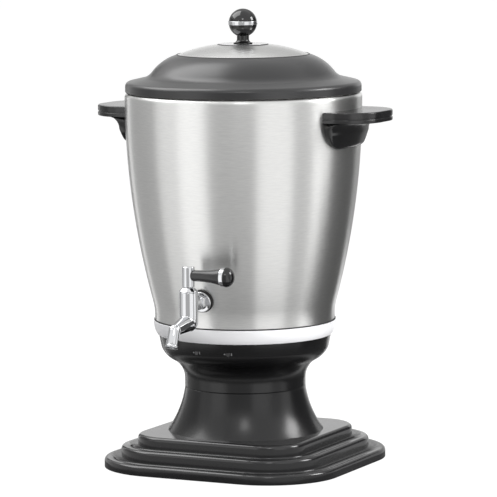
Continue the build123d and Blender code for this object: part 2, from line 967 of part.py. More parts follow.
def make_tap_body():
    body = post(barrel_radius, barrel_low, barrel_high, 0, -barrel_offset)
    body = body + Pos(*barrel_foot) * Sphere(barrel_radius)
    body = body + tap_bar(tap_shank_radius, shank_end, barrel_offset)
    collar = hexagon(tap_hex_flats, (0, -tap_wall, tap_height), tap_hex_reach, (0, -1, 0))
    body = body + (collar - wall_disc(2 * tap_hex_flats, -tap_hex_reach, flange_face))
    body = body + bar(barrel_foot, spout_end, spout_start_radius, spout_end_radius)
    body = body + Pos(*spout_end) * Sphere(nozzle_top_radius)
    body = body + bar(spout_end, nozzle_end, nozzle_top_radius, nozzle_outlet_radius)
    body = body - post(plug_radius, plug_low, barrel_high + overcut, 0, -barrel_offset)
    body = body - post(plug_chamber_radius, barrel_low, plug_low, 0, -barrel_offset)
    body = body - tap_bar(tap_shank_bore, shank_end - overcut, barrel_offset)
    body = body - bar(barrel_foot, spout_end, spout_bore)
    body = body - Pos(*spout_end) * Sphere(spout_bore)
    fall = (Vector(*nozzle_end) - Vector(*spout_end)).normalized()
    return body - bar(spout_end, Vector(*nozzle_end) + fall * overcut, spout_bore)


def make_tap_gasket():
    disc = wall_disc(gasket_radius, -gasket_thickness, gasket_thickness) - vessel_blank(bolt_clearance)
    return disc - tap_bar(tap_shank_radius + tap_hole_clearance, 0, barrel_offset)


def make_tap_flange():
    disc = wall_disc(flange_radius, gasket_thickness, flange_face)
    disc = fillet(disc.edges().filter_by(GeomType.CIRCLE).sort_by(Axis.Y)[0], flange_round)
    return disc - tap_bar(tap_shank_radius + fit_clearance, 0, barrel_offset)


inner_face = tap_wall - inner_gasket_depth


def make_inner_gasket():
    disc = tap_bar(gasket_radius, inner_face, tap_wall + gasket_radius)
    disc = disc & vessel_blank(-vessel_sheet - bolt_clearance)
    return disc - tap_bar(tap_shank_radius + tap_hole_clearance, 0, barrel_offset)


def make_lock_nut():
    nut = hexagon(lock_nut_flats, (0, -inner_face, tap_height), lock_nut_length, (0, 1, 0))
    back = inner_face - lock_nut_length
    return nut - tap_bar(tap_shank_radius + fit_clearance, back - overcut, inner_face + overcut)


def make_bonnet():
    hole = plug_stem_radius + plug_stem_clearance
    return at_barrel(turned_outline(
        (hole, barrel_high),
        (barrel_radius, barrel_high),
        (barrel_radius, barrel_high + bonnet_skirt),
        (bonnet_top_radius, bonnet_high),
        (hole, bonnet_high),
    ))


def at_barrel(part):
    return Pos(0, -barrel_offset, 0) * part


def make_plug():
    radius = plug_radius - plug_clearance
    plug_high = barrel_high - plug_clearance * 2
    plug = post(radius, plug_low + plug_clearance * 2, plug_high)
    plug = plug + post(plug_stem_radius, plug_high, hub_low + hub_stem_depth)
    plug = plug - post(plug_port_radius, plug_low, tap_height)
    plug = plug - bar((0, 0, tap_height), (-2 * plug_radius, 0, tap_height), plug_port_radius)
    groove = ring(2 * plug_radius, radius - o_ring_section, o_ring_low(), o_ring_low() + o_ring_section)
    return at_barrel(plug - groove)


def o_ring_low():
    return barrel_high - 3 * o_ring_section


def make_o_ring():
    radius = plug_radius - plug_clearance
    inner = radius - o_ring_section + plug_clearance
    low = o_ring_low() + plug_clearance
    return at_barrel(ring(radius, inner, low, low + o_ring_section - 2 * plug_clearance))


def make_hub():
    hub = post(hub_radius, hub_low, hub_high)
    hub = chamfer(hub.edges().group_by(Axis.Z)[-1], hub_chamfer)
    stem_end = hub_low + hub_stem_depth + fit_clearance
    hub = hub - post(plug_stem_radius + fit_clearance / 2, hub_low - overcut, stem_end)
    hub = hub - lever_bar(lever_hole, rod_root - lever_rod_clearance, 2 * hub_radius)
    return at_barrel(hub - grub_bar(grub_radius, 2 * hub_radius))


def lever_bar(radius, start, end):
    return bar((start, 0, lever_level), (end, 0, lever_level), radius)


def grub_bar(radius, length):
    start = plug_stem_radius + fit_clearance / 2
    level = hub_low + hub_stem_depth / 2
    return bar((0, start, level), (0, start + length, level), radius)


def make_grub():
    return at_barrel(grub_bar(grub_radius - lever_rod_clearance, grub_length))


def turned_lever(face):
    return at_barrel(Pos(0, 0, lever_level) * revolve(face, Axis.X))


def make_grip():
    taper = Line((rod_root, grip_root_radius), (grip_waist_reach, grip_waist_radius))
    flare = tangent_arc((grip_waist_reach, grip_waist_radius), (grip_reach, grip_flare_radius), (1, 0))
    edges = [
        taper,
        flare,
        Line(flare @ 1, (grip_reach, lever_hole)),
        Line((grip_reach, lever_hole), (rod_root, lever_hole)),
        Line((rod_root, lever_hole), (rod_root, grip_root_radius)),
    ]
    return turned_lever(make_face(edges)) - at_barrel(post(hub_radius + grip_root_gap, hub_low, hub_high))


lever_ring_end = grip_reach + lever_ring_width


def make_lever_ring():
    align = (Align.MIN, Align.MIN)
    section = Rectangle(lever_ring_width, lever_ring_radius - lever_hole, align=align)
    return turned_lever(Pos(grip_reach, lever_hole) * section)


def make_lever_cap():
    length = lever_reach - lever_ring_end
    dome = EllipticalCenterArc((lever_ring_end, 0), length, lever_cap_radius, arc_size=90)
    depth = lever_ring_end + length / 2
    edges = [
        dome,
        Line((lever_ring_end, lever_cap_radius), (lever_ring_end, lever_hole)),
        Line((lever_ring_end, lever_hole), (depth, lever_hole)),
        Line((depth, lever_hole), (depth, 0)),
        Line((depth, 0), (lever_reach, 0)),
    ]
    return turned_lever(make_face(edges))


def make_lever_rod():
    length = lever_reach - lever_ring_end
    end = lever_ring_end + length / 2 - lever_rod_clearance
    return at_barrel(lever_bar(lever_rod_radius, rod_root, end))


# Rear panel

def inlet_body(clearance):
    width = inlet_body_width + 2 * clearance
    height = inlet_body_height + 2 * clearance
    centre = (inlet_across, panel_reach - inlet_body_depth / 2, panel_middle)
    return block(width, inlet_body_depth, height, centre)


def inlet_pin_places():
    low = panel_middle - inlet_pin_step / 2
    high = panel_middle + inlet_pin_step / 2
    return [
        (inlet_across - inlet_pin_pitch, low),
        (inlet_across + inlet_pin_pitch, low),
        (inlet_across, high),
    ]


inlet_front = panel_reach + inlet_flange_thickness
inlet_floor = inlet_front - inlet_recess_depth
inlet_tail = panel_reach - inlet_body_depth - inlet_pin_tail


def inlet_pin(place, clearance):
    front = inlet_floor + inlet_pin_reach
    width = inlet_pin_width + 2 * clearance
    height = inlet_pin_height + 2 * clearance
    centre = (place[0], (front + inlet_tail) / 2, place[1])
    return block(width, front - inlet_tail, height, centre)


def make_inlet_socket():
    flange_centre = (inlet_across, panel_reach + inlet_flange_thickness / 2, panel_middle)
    flange = block(inlet_flange_width, inlet_flange_thickness, inlet_flange_height, flange_centre)
    flange = fillet(flange.edges().filter_by(Axis.Y), inlet_flange_thickness)
    socket = flange + inlet_body(0)
    recess = Rectangle(inlet_recess_width, inlet_recess_height)
    recess = chamfer(recess.vertices().group_by(Axis.Y)[-1], inlet_recess_height / 4)
    place = Plane(origin=(inlet_across, inlet_front, panel_middle), x_dir=(1, 0, 0), z_dir=(0, -1, 0))
    socket = socket - extrude(place * recess, inlet_recess_depth)
    for pin in inlet_pin_places():
        socket = socket - inlet_pin(pin, fit_clearance / 2)
    return socket


def make_inlet_pins():
    return Compound([inlet_pin(place, 0) for place in inlet_pin_places()])


def switch_body(clearance):
    width = switch_body_width + 2 * clearance
    height = switch_body_height + 2 * clearance
    centre = (switch_across, panel_reach - switch_body_depth / 2, panel_middle)
    return block(width, switch_body_depth, height, centre)


rocker_axis = (switch_across, inlet_front - rocker_pivot_depth, panel_middle)


def rocker_axle(radius, length):
    low = panel_middle - rocker_height / 2 - length
    high = panel_middle + rocker_height / 2 + length
    return post(radius, low, high, rocker_axis[0], rocker_axis[1])


def switch_tab(side, clearance):
    length = switch_tab_length + switch_tab_root
    tail = panel_reach - switch_body_depth - switch_tab_length
    centre = (switch_across + switch_tab_pitch / 2 * side, tail + length / 2, panel_middle)
    return block(switch_tab_thickness + 2 * clearance, length, switch_tab_width + 2 * clearance, centre)


def make_switch_frame():
    flange_centre = (switch_across, panel_reach + inlet_flange_thickness / 2, panel_middle)
    flange = block(switch_flange_width, inlet_flange_thickness, switch_flange_height, flange_centre)
    flange = fillet(flange.edges().filter_by(Axis.Y), inlet_flange_thickness / 2)
    frame = flange + switch_body(0)
    room_centre = (switch_across, inlet_front - switch_opening_depth / 2, panel_middle)
    frame = frame - block(switch_opening_width, switch_opening_depth, switch_opening_height, room_centre)
    frame = frame - rocker_axle(
        rocker_axle_radius + rocker_axle_clearance, rocker_axle_length + fit_clearance
    )
    for side in (1, -1):
        frame = frame - switch_tab(side, fit_clearance / 2)
    return frame


def make_switch_tabs():
    return Compound([switch_tab(side, 0) for side in (1, -1)])


def make_rocker():
    half_rise = rocker_radius * sin(radians(rocker_tilt))
    outline = outline_face(
        (-2 * rocker_radius, -rocker_back),
        (2 * rocker_radius, -rocker_back),
        (2 * rocker_radius, rocker_front + half_rise),
        (0, rocker_front - half_rise),
        (-2 * rocker_radius, rocker_front + half_rise),
    )
    profile = Circle(rocker_radius) & outline
    solid = extrude(Rot(0, 0, rocker_tilt) * profile, rocker_height)
    x, y, level = rocker_axis
    solid = Pos(x, y, level - rocker_height / 2) * solid
    return solid + rocker_axle(rocker_axle_radius, rocker_axle_length)


# Indicator lenses and their board

lens_level = bowl_high - lens_drop


def lens_face():
    return bowl_side_radius(lens_level)


def lens(angle, clearance, outer):
    inner = lens_face() - lens_length
    return bar(radial(angle, inner, lens_level), radial(angle, outer, lens_level), lens_radius + clearance)


def make_lenses():
    outer = lens_face() + lens_proud
    return Compound([lens(angle, 0, outer) for angle in (lens_left_angle, lens_right_angle)])


def make_indicator_board():
    middle = (lens_left_angle + lens_right_angle) / 2
    spread = (lens_right_angle - lens_left_angle) / 2
    led_end = lens_face() - lens_length - led_gap
    face = (led_end - led_length) * cos(radians(spread))
    plate = block(
        2 * board_half_width, board_thickness, board_height, (0, -face + board_thickness / 2, lens_level)
    )
    plate = Rot(0, 0, middle) * plate
    for angle in (lens_left_angle, lens_right_angle):
        start = radial(angle, face / cos(radians(spread)) - board_thickness / 2, lens_level)
        plate = plate + bar(start, radial(angle, led_end, lens_level), led_radius)
    return plate


# Wires between inlet, switch, thermostat, element and fuse

def wire(*points):
    path = FilletPolyline(*points, radius=wire_bend)
    start = Plane(origin=path @ 0, z_dir=path % 0)
    return sweep(start * Circle(wire_radius), path=path)


def make_wires():
    element_right = element_pin_place(1)
    element_left = element_pin_place(-1)
    live, neutral, earth = inlet_pin_places()
    run = element_left[2] - wire_drop
    tab_end = panel_reach - switch_body_depth - switch_tab_length
    tab = switch_tab_pitch / 2
    near = control_tab_spread
    thermostat_low = heater_low - control_height - control_tab_length
    fuse_low = heater_low - fuse_height - control_tab_length
    aside = control_offset + control_radius + wire_drop
    back = inlet_tail - wire_drop
    return Compound([
        wire(
            (live[0], inlet_tail, live[1]),
            (live[0], back, live[1]),
            (switch_across + tab, back, panel_middle),
            (switch_across + tab, tab_end, panel_middle),
        ),
        wire(
            (switch_across - tab, tab_end, panel_middle),
            (switch_across - tab, back, panel_middle),
            (-control_offset, near, run - wire_drop),
            (-control_offset, near, thermostat_low),
        ),
        wire(
            (-control_offset, -near, thermostat_low),
            (-control_offset, -near, run),
            (-aside, element_left[1] / 2, run),
            (element_left[0], element_left[1], run),
            element_left,
        ),
        wire(
            element_right,
            (element_right[0], element_right[1], run),
            (control_offset, near, run),
            (control_offset, near, fuse_low),
        ),
        wire(
            (control_offset, -near, fuse_low),
            (control_offset, -near, run),
            (aside, element_right[1] / 2, run),
            (neutral[0], back, neutral[1]),
            (neutral[0], inlet_tail, neutral[1]),
        ),
        wire(
            (earth[0], inlet_tail, earth[1]),
            (earth[0], inlet_tail - 2 * wire_drop, earth[1]),
            (0, element_ring_radius / 2, run + wire_drop),
            (0, element_ring_radius / 2, heater_low),
        ),
    ])


def make_parts():
    bracket = make_handle_bracket()
    cover = make_handle_cover()
    return {
        "foot_ring": make_foot_ring(),
        "base_cover": make_base_cover(),
        "base_cover_screws": make_cover_screws(),
        "base_tiers": make_base_tiers(),
        "foot_bell": make_foot_bell(),
        "bowl": make_bowl(),
        "trim_ring": make_trim_ring(),
        "tie_rod": make_tie_rod(),
        "tie_rod_washer": make_tie_washer(),
        "tie_rod_nut": make_tie_nut(),
        "vessel_wall": make_vessel_wall(),
        "vessel_rim": make_vessel_rim(),
        "vessel_bottom": make_vessel_bottom(),
        "heater_plate": make_heater_plate(),
        "heating_element": make_heating_element(),
        "thermostat": make_control(-1, control_radius, control_height),
        "thermal_fuse": make_control(1, fuse_radius, fuse_height),
        "wires": make_wires(),
        "inlet_socket": make_inlet_socket(),
        "inlet_pins": make_inlet_pins(),
        "switch_frame": make_switch_frame(),
        "switch_tabs": make_switch_tabs(),
        "switch_rocker": make_rocker(),
        "indicator_lenses": make_lenses(),
        "indicator_board": make_indicator_board(),
        "handle_bracket_right": bracket,
        "handle_bracket_left": mirror(bracket, Plane.YZ),
        "handle_cover_right": cover,
        "handle_cover_left": mirror(cover, Plane.YZ),
        "handle_bolts": make_handle_bolts(),
        "handle_bolt_seals": make_handle_seals(),
        "tap_body": make_tap_body(),
        "tap_gasket": make_tap_gasket(),
        "tap_flange": make_tap_flange(),
        "tap_inner_gasket": make_inner_gasket(),
        "tap_lock_nut": make_lock_nut(),
        "tap_bonnet": make_bonnet(),
        "tap_plug": make_plug(),
        "plug_o_ring": make_o_ring(),
        "lever_hub": make_hub(),
        "lever_grub_screw": make_grub(),
        "lever_rod": make_lever_rod(),
        "lever_grip": make_grip(),
        "lever_ring": make_lever_ring(),
        "lever_end_cap": make_lever_cap(),
        "lid_shell": make_lid_shell(),
        "lid_dome_cap": make_lid_cap(),
        "lid_liner": make_lid_liner(),
        "lid_seal": make_lid_seal(),
        "lid_spacer": make_lid_spacer(),
        "knob_disc": make_knob_disc(),
        "knob_stem": make_knob_stem(),
        "knob_lower_half": knob_ball_slice(stem_top, knob_ring_low),
        "knob_ring": make_knob_ring(),
        "knob_upper_half": knob_ball_slice(knob_ring_high, knob_centre + knob_radius),
        "knob_screw": make_knob_screw(),
        "knob_screw_washer": make_knob_washer(),
    }


os.makedirs("parts", exist_ok=True)
for name, part in make_parts().items():
    export_step(part, f"parts/{name}.step")
    print(name, len(part.solids()), round(part.volume, 1))
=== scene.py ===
import bmesh
import bpy
import json
import math
from mathutils import Matrix, Vector
from mathutils.geometry import interpolate_bezier


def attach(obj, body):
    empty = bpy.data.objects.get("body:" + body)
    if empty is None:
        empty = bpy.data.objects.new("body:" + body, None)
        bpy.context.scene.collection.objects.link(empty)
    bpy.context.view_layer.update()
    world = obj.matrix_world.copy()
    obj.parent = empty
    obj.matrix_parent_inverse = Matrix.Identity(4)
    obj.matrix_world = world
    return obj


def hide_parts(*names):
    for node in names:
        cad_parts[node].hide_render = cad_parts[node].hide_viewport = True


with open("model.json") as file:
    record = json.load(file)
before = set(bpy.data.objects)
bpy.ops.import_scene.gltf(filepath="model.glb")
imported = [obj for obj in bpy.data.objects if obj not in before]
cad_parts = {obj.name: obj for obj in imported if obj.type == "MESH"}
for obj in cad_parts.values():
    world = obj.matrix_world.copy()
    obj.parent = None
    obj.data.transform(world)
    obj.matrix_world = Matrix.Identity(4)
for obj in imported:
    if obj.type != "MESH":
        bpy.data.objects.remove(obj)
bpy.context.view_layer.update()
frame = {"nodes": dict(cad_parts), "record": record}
print("frame:", len(frame["nodes"]), "nodes")

mm = 0.001  # all piece sizes below are in millimetres
bodyName = "samovar_body"
foldAngle = 1.2  # edges that turn more than this, in radians, count as corners


# shared helpers

def hexColor(text):
    parts = [int(text[i:i + 2], 16) / 255 for i in (1, 3, 5)]
    linear = [c / 12.92 if c <= 0.04045 else ((c + 0.055) / 1.055) ** 2.4 for c in parts]
    return (*linear, 1.0)


def addNode(tree, kind, values=None, links=None, **settings):
    node = tree.nodes.new(kind)
    for key, value in settings.items():
        setattr(node, key, value)
    for key, value in (values or {}).items():
        node.inputs[key].default_value = value
    for key, socket in (links or {}).items():
        tree.links.new(socket, node.inputs[key])
    return node


def newMaterial(name):
    material = bpy.data.materials.new(name)
    material.use_nodes = True
    material.node_tree.nodes.clear()
    return material, material.node_tree


def closeMaterial(tree, shader):
    addNode(tree, "ShaderNodeOutputMaterial", links={"Surface": shader.outputs[0]})


def ownSpace(tree):
    return addNode(tree, "ShaderNodeTexCoord").outputs["Object"]


def surfaceNoise(tree, size, detail, roughness=0.5):
    values = {"Scale": 1 / (size * mm), "Detail": detail, "Roughness": roughness}
    return addNode(tree, "ShaderNodeTexNoise", values, {"Vector": ownSpace(tree)}).outputs[0]


def ranged(tree, value, low, high):
    return addNode(tree, "ShaderNodeMapRange", {"To Min": low, "To Max": high}, {"Value": value}).outputs[0]


def bumped(tree, height, strength, distance):
    return addNode(tree, "ShaderNodeBump", {"Strength": strength, "Distance": distance * mm},
                   {"Height": height}).outputs[0]


# materials

# cold rolled stainless sheet with a hairline finish: lines run round the wall,
# so lamps smear into tall upright bands
steelLook = dict(dark="#d4d4d3", spread=0.08, along=9.0, across=0.9, bump=0.02, bumpHigh=0.2, detail=3.0,
                 noiseRough=0.6, quarterTurn=0.25)
plasticLook = dict(cloud=40.0, spread=0.04, bumpHigh=0.05, detail=2.0, noiseRough=0.55, sheenRough=0.4)
plateLook = dict(wave=6.0, low=0.8, high=1.2, bumpHigh=0.1, detail=1.0)
paintLook = dict(flake=0.6, low=0.30, high=0.42, metallic=0.10, detail=2.0)


def hairlineSteel(name, color, grain, roughness, anisotropy):
    # real lines are about 0.2 mm apart, drawn near 1 mm so that they show
    s = steelLook
    material, tree = newMaterial(name)
    along, across = (1 / (s[key] * mm) for key in ("along", "across"))
    if grain == "round":
        spot = addNode(tree, "ShaderNodeMapping", {"Scale": (along, along, across)},
                       {"Vector": ownSpace(tree)})
    else:
        flat = addNode(tree, "ShaderNodeVectorMath", {1: (1, 1, 0)}, {0: ownSpace(tree)},
                       operation="MULTIPLY")
        reach = addNode(tree, "ShaderNodeVectorMath", links={0: flat.outputs[0]}, operation="LENGTH")
        fine = addNode(tree, "ShaderNodeMath", {1: across}, {0: reach.outputs["Value"]}, operation="MULTIPLY")
        spot = addNode(tree, "ShaderNodeCombineXYZ", links={"X": fine.outputs[0]})
    values = {"Scale": 1.0, "Detail": s["detail"], "Roughness": s["noiseRough"]}
    lines = addNode(tree, "ShaderNodeTexNoise", values, {"Vector": spot.outputs[0]}).outputs[0]
    tone = addNode(tree, "ShaderNodeMix", {"A": hexColor(s["dark"]), "B": hexColor(color)}, {"Factor": lines},
                   data_type="RGBA")
    tangent = addNode(tree, "ShaderNodeTangent", direction_type="RADIAL", axis="Z")
    shader = addNode(tree, "ShaderNodeBsdfPrincipled",
                     {"Metallic": 1.0, "Anisotropic": anisotropy, "Anisotropic Rotation": s["quarterTurn"]},
                     {"Base Color": tone.outputs["Result"], "Tangent": tangent.outputs[0],
                      "Roughness": ranged(tree, lines, roughness, roughness + s["spread"]),
                      "Normal": bumped(tree, lines, s["bump"], s["bumpHigh"])})
    closeMaterial(tree, shader)
    return material


def grainedPlastic(name, color, roughness, grain, depth, sheen=0.0, index=1.62):
    # moulded plastic or rubber: the mould's spark-eroded skin scatters the highlights a little
    p = plasticLook
    material, tree = newMaterial(name)
    skin = surfaceNoise(tree, grain, p["detail"], p["noiseRough"])
    cloud = surfaceNoise(tree, p["cloud"], p["detail"])
    shader = addNode(tree, "ShaderNodeBsdfPrincipled",
                     {"Base Color": hexColor(color), "IOR": index, "Sheen Weight": sheen,
                      "Sheen Roughness": p["sheenRough"]},
                     {"Roughness": ranged(tree, cloud, roughness - p["spread"], roughness + p["spread"]),
                      "Normal": bumped(tree, skin, depth, p["bumpHigh"])})
    closeMaterial(tree, shader)
    return material


def platedMetal(name, color, roughness, ripple):
    # plated or machined metal: nearly even, with a slow ripple left by polishing
    p = plateLook
    material, tree = newMaterial(name)
    wave = surfaceNoise(tree, p["wave"], p["detail"])
    shader = addNode(tree, "ShaderNodeBsdfPrincipled", {"Base Color": hexColor(color), "Metallic": 1.0},
                     {"Roughness": ranged(tree, wave, roughness * p["low"], roughness * p["high"]),
                      "Normal": bumped(tree, wave, ripple, p["bumpHigh"])})
    closeMaterial(tree, shader)
    return material


def silverPaint(name, color):
    # sprayed silver coat: flakes mirror a little, the binder scatters the rest
    p = paintLook
    material, tree = newMaterial(name)
    flakes = surfaceNoise(tree, p["flake"], p["detail"])
    shader = addNode(tree, "ShaderNodeBsdfPrincipled",
                     {"Base Color": hexColor(color), "Metallic": p["metallic"]},
                     {"Roughness": ranged(tree, flakes, p["low"], p["high"])})
    closeMaterial(tree, shader)
    return material


finish = dict(
    wallSteel=hairlineSteel("HairlineSteel", "#ececea", "round", 0.30, 0.8),
    discSteel=hairlineSteel("TurnedSteel", "#f6f6f4", "disc", 0.24, 0.2),
    satinBlack=grainedPlastic("SatinBlackAbs", "#181819", 0.24, 0.7, 0.05, 0.08),
    # painted shade: a darker copy of the satin black for the bell, bowl and rear panel, standing in for the
    # shade under the ring's overhang
    shadedColumnBlack=grainedPlastic("ColumnShadedSatinBlackAbs", "#0d0d0e", 0.24, 0.7, 0.05, index=1.52),
    baseBlack=grainedPlastic("BaseGlossBlackAbs", "#161617", 0.15, 0.7, 0.03, 0.04),
    handleBlack=grainedPlastic("PolishedBlackPhenolic", "#111112", 0.20, 1.5, 0.03),
    lidBlack=grainedPlastic("LidSatinBlackAbs", "#1e1e1f", 0.31, 0.7, 0.06, 0.12),
    glossBlack=grainedPlastic("GlossBlackPhenolic", "#0b0b0c", 0.10, 3.0, 0.02),
    softBlack=grainedPlastic("BlackRubber", "#141414", 0.62, 0.5, 0.20),
    paleSilicone=grainedPlastic("PaleSilicone", "#c9c7c1", 0.50, 0.6, 0.10),
    sleeve=grainedPlastic("GlassFibreSleeve", "#b5a88f", 0.70, 0.4, 0.50),
    boardGreen=grainedPlastic("LacqueredBoard", "#1f4a2a", 0.35, 1.0, 0.05),
    lensDark=grainedPlastic("SmokedLens", "#2a2a2b", 0.12, 2.0, 0.02),
    printGrey=grainedPlastic("PadPrintInk", "#6f6f70", 0.45, 0.4, 0.10),
    satinSilver=silverPaint("SatinSilverPaint", "#ebebed"),
    chrome=platedMetal("ChromePlate", "#dcdddf", 0.05, 0.02),
    # polished steel for the knob disc, partly real and partly painted reflection: its colour is darkened to
    # stand in for the black knob mirrored in it
    dimmedPolishedSteel=platedMetal("PolishedSteelDimmed", "#b2b2b4", 0.10, 0.02),
    plainSteel=platedMetal("DrawnSteel", "#a9a9aa", 0.32, 0.05),
    castAlu=platedMetal("CastAluminium", "#b9b9ba", 0.45, 0.30),
    brass=platedMetal("MachinedBrass", "#c8a25a", 0.22, 0.05),
)
slotFinish = dict(
    satin_black_plastic="satinBlack", gloss_black_plastic="glossBlack", brushed_steel="wallSteel",
    satin_silver="satinSilver", chrome="chrome", plain_steel="plainSteel", cast_aluminium="castAlu",
    brass="brass", black_rubber="softBlack", silicone="paleSilicone", wire_cover="sleeve",
    board="boardGreen", lens="lensDark",
)
for entry in frame["record"]["subparts"]:
    node = frame["nodes"][entry["node"]]
    node.data.materials.clear()
    node.data.materials.append(finish[slotFinish[entry["material_slot"]]])
print("materials:", len(bpy.data.materials))


# outlines are lists of (radius, height) pairs

def arcPoints(start, end, tangent, count=14):
    start, end = Vector(start), Vector(end)
    tangent = Vector(tangent).normalized()
    left = Vector((-tangent.y, tangent.x))
    chord = end - start
    radius = chord.length_squared / (2 * chord.dot(left))
    centre = start + left * radius
    first = math.atan2(start.y - centre.y, start.x - centre.x)
    last = math.atan2(end.y - centre.y, end.x - centre.x)
    sweep = (last - first) % math.tau if radius > 0 else -((first - last) % math.tau)
    turns = [first + sweep * i / count for i in range(count + 1)]
    return [(centre.x + abs(radius) * math.cos(t), centre.y + abs(radius) * math.sin(t)) for t in turns]


def endSlope(points):
    return (points[-1][0] - points[-2][0], points[-1][1] - points[-2][1])


def bentLine(start, control, end, count=16):
    # quadratic bend raised to the cubic that Blender's interpolator takes
    a, c, b = (Vector((*p, 0)) for p in (start, control, end))
    bent = interpolate_bezier(a, a + (c - a) * 2 / 3, b + (c - b) * 2 / 3, b, count)
    return [(p.x, p.y) for p in bent]


def joined(*runs):
    points = []
    for run in runs:
        for p in (run if isinstance(run, list) else [run]):
            if not points or (Vector(p) - Vector(points[-1])).length > 0.001:
                points.append(p)
    return points


def shifted(path, distance):
    # the same path moved to its left by distance
    moved = []
    for i, p in enumerate(path):
        before = (Vector(p) - Vector(path[i - 1])).normalized() if i else None
        after = (Vector(path[i + 1]) - Vector(p)).normalized() if i + 1 < len(path) else None
        before, after = before or after, after or before
        mid = (before + after).normalized()
        reach = distance / max(mid.dot(before), 0.3)
        moved.append((p[0] - mid.y * reach, p[1] + mid.x * reach))
    return moved


def walled(path, thickness):
    return path + shifted(path, thickness)[::-1]


def roundedCorners(points, radius, count=4):
    # every corner of a closed outline becomes a small arc
    outline = []
    for i, p in enumerate(points):
        p = Vector(p)
        back = Vector(points[i - 1]) - p
        ahead = Vector(points[(i + 1) % len(points)]) - p
        cut = min(radius, back.length * 0.45, ahead.length * 0.45)
        outline += bentLine(p + back.normalized() * cut, p, p + ahead.normalized() * cut, count + 1)
    return [(p[0], p[1]) for p in outline]


def spun(outline, steps=128, centre=(0.0, 0.0), bm=None):
    bm = bm or bmesh.new()
    ring = [bm.verts.new((centre[0] * mm + max(r, 0.0) * mm, centre[1] * mm, z * mm)) for r, z in outline]
    edges = [bm.edges.new((ring[i - 1], ring[i])) for i in range(len(ring))]
    bmesh.ops.spin(bm, geom=ring + edges, cent=(centre[0] * mm, centre[1] * mm, 0), axis=(0, 0, 1),
                   angle=math.tau, steps=steps, use_merge=True)
    return bm


def bevelled(bm, geom, size, segments, affect="EDGES", clamp=False):
    bmesh.ops.bevel(bm, geom=geom, offset=size * mm, offset_type="OFFSET", segments=segments, profile=0.5,
                    affect=affect, material=-1, clamp_overlap=clamp)


weld = dict(doubles=0.004, slivers=0.002)


def addPiece(name, bm, body, look, nodes=(), sharp=35):
    bmesh.ops.remove_doubles(bm, verts=bm.verts, dist=weld["doubles"] * mm)
    bmesh.ops.dissolve_degenerate(bm, edges=bm.edges, dist=weld["slivers"] * mm)
    bmesh.ops.recalc_face_normals(bm, faces=bm.faces)
    for face in bm.faces:
        face.smooth = True
    for edge in bm.edges:
        edge.smooth = edge.calc_face_angle(0.0) < math.radians(sharp)
    mesh = bpy.data.meshes.new(name)
    bm.to_mesh(mesh)
    bm.free()
    piece = bpy.data.objects.new(name, mesh)
    bpy.context.scene.collection.objects.link(piece)
    mesh.materials.append(finish[look])
    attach(piece, body)
    if nodes:
        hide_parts(*nodes)
    return piece


def evenShading(piece):
    # keeps wide flat faces flat beside their rounded rims
    piece.modifiers.new("EvenShading", "WEIGHTED_NORMAL").keep_sharp = True


# base: three steps with rounded square plans

base = dict(halfSide=124.5, corner=72.0, inset=17.0, lift=0.5, heights=(10.0, 11.5, 11.5),
            edgeRound=4.0, cove=3.0, skirt=3.0, pocket=7.0, underLevel=2.0)


def topFace(bm):
    return max(bm.faces, key=lambda face: face.calc_center_median().z)


def raised(bm, face, height):
    made = bmesh.ops.extrude_face_region(bm, geom=[face])["geom"]
    verts = [v for v in made if isinstance(v, bmesh.types.BMVert)]
    bmesh.ops.translate(bm, verts=verts, vec=(0, 0, height))


def levelEdges(bm, convex):
    # corners of the steps' tops and feet, without the underside's
    return [e for e in bm.edges if abs(e.verts[0].co.z - e.verts[1].co.z) < 1e-6 and len(e.link_faces) == 2
            and e.calc_face_angle() > foldAngle and e.is_convex == convex
            and e.verts[0].co.z > base["underLevel"] * mm]


def buildBase():
    bm = bmesh.new()
    bmesh.ops.create_grid(bm, x_segments=1, y_segments=1, size=base["halfSide"] * mm)
    bevelled(bm, bm.verts[:], base["corner"], 28, "VERTICES")
    bmesh.ops.translate(bm, verts=bm.verts, vec=(0, 0, base["lift"] * mm))
    for step, height in enumerate(base["heights"]):
        if step:
            bmesh.ops.inset_region(bm, faces=[topFace(bm)], thickness=base["inset"] * mm,
                                   use_even_offset=True)
        raised(bm, topFace(bm), height * mm)
    bmesh.ops.recalc_face_normals(bm, faces=bm.faces)
    for convex, size in ((True, base["edgeRound"]), (False, base["cove"])):
        bevelled(bm, levelEdges(bm, convex), size, 7)
    under = min(bm.faces, key=lambda face: face.calc_center_median().z)
    bmesh.ops.inset_region(bm, faces=[under], thickness=base["skirt"] * mm, use_even_offset=True)
    under = min((f for f in bm.faces if f.normal.z < -0.9), key=lambda face: -face.calc_area())
    raised(bm, under, base["pocket"] * mm)
    evenShading(addPiece("BaseSteps", bm, bodyName, "baseBlack", ["base_tiers"]))


buildBase()
print("base done")


# column: bell, bowl and silver ring

bell = dict(neck=60.9, seam=78.0, foot=78.5, low=33.5, lean=8.0, wall=3.0)
bowl = dict(high=131.2, straight=8.0, waist=(73.5, 106.2), shoulder=(84.3, 118.3), top=86.9, wall=3.0,
            lip=0.5)
silverRing = dict(low=131.2, high=145.5, shelf=140.5, bottom=87.9, top=92.0, bulge=0.8, bore=80.0, lip=90.9,
                  inner=83.9, shelfWall=2.5)
# black ring painted in as the shadow of the gap between the vessel wall and the silver ring
seamShadowLine = dict(name="SeamShadowLine", radius=90.9, level=146.1, section=0.6)


def paintedShadowBead(bead, body):
    # painted shade: a thin black ring put where the gap between two pieces shows as a dark shadow line
    turns = [math.tau * i / 12 for i in range(12)]
    ring = [(bead["radius"] + bead["section"] * math.cos(t), bead["level"] + bead["section"] * math.sin(t))
            for t in turns]
    addPiece(bead["name"], spun(ring, 160), body, "softBlack")


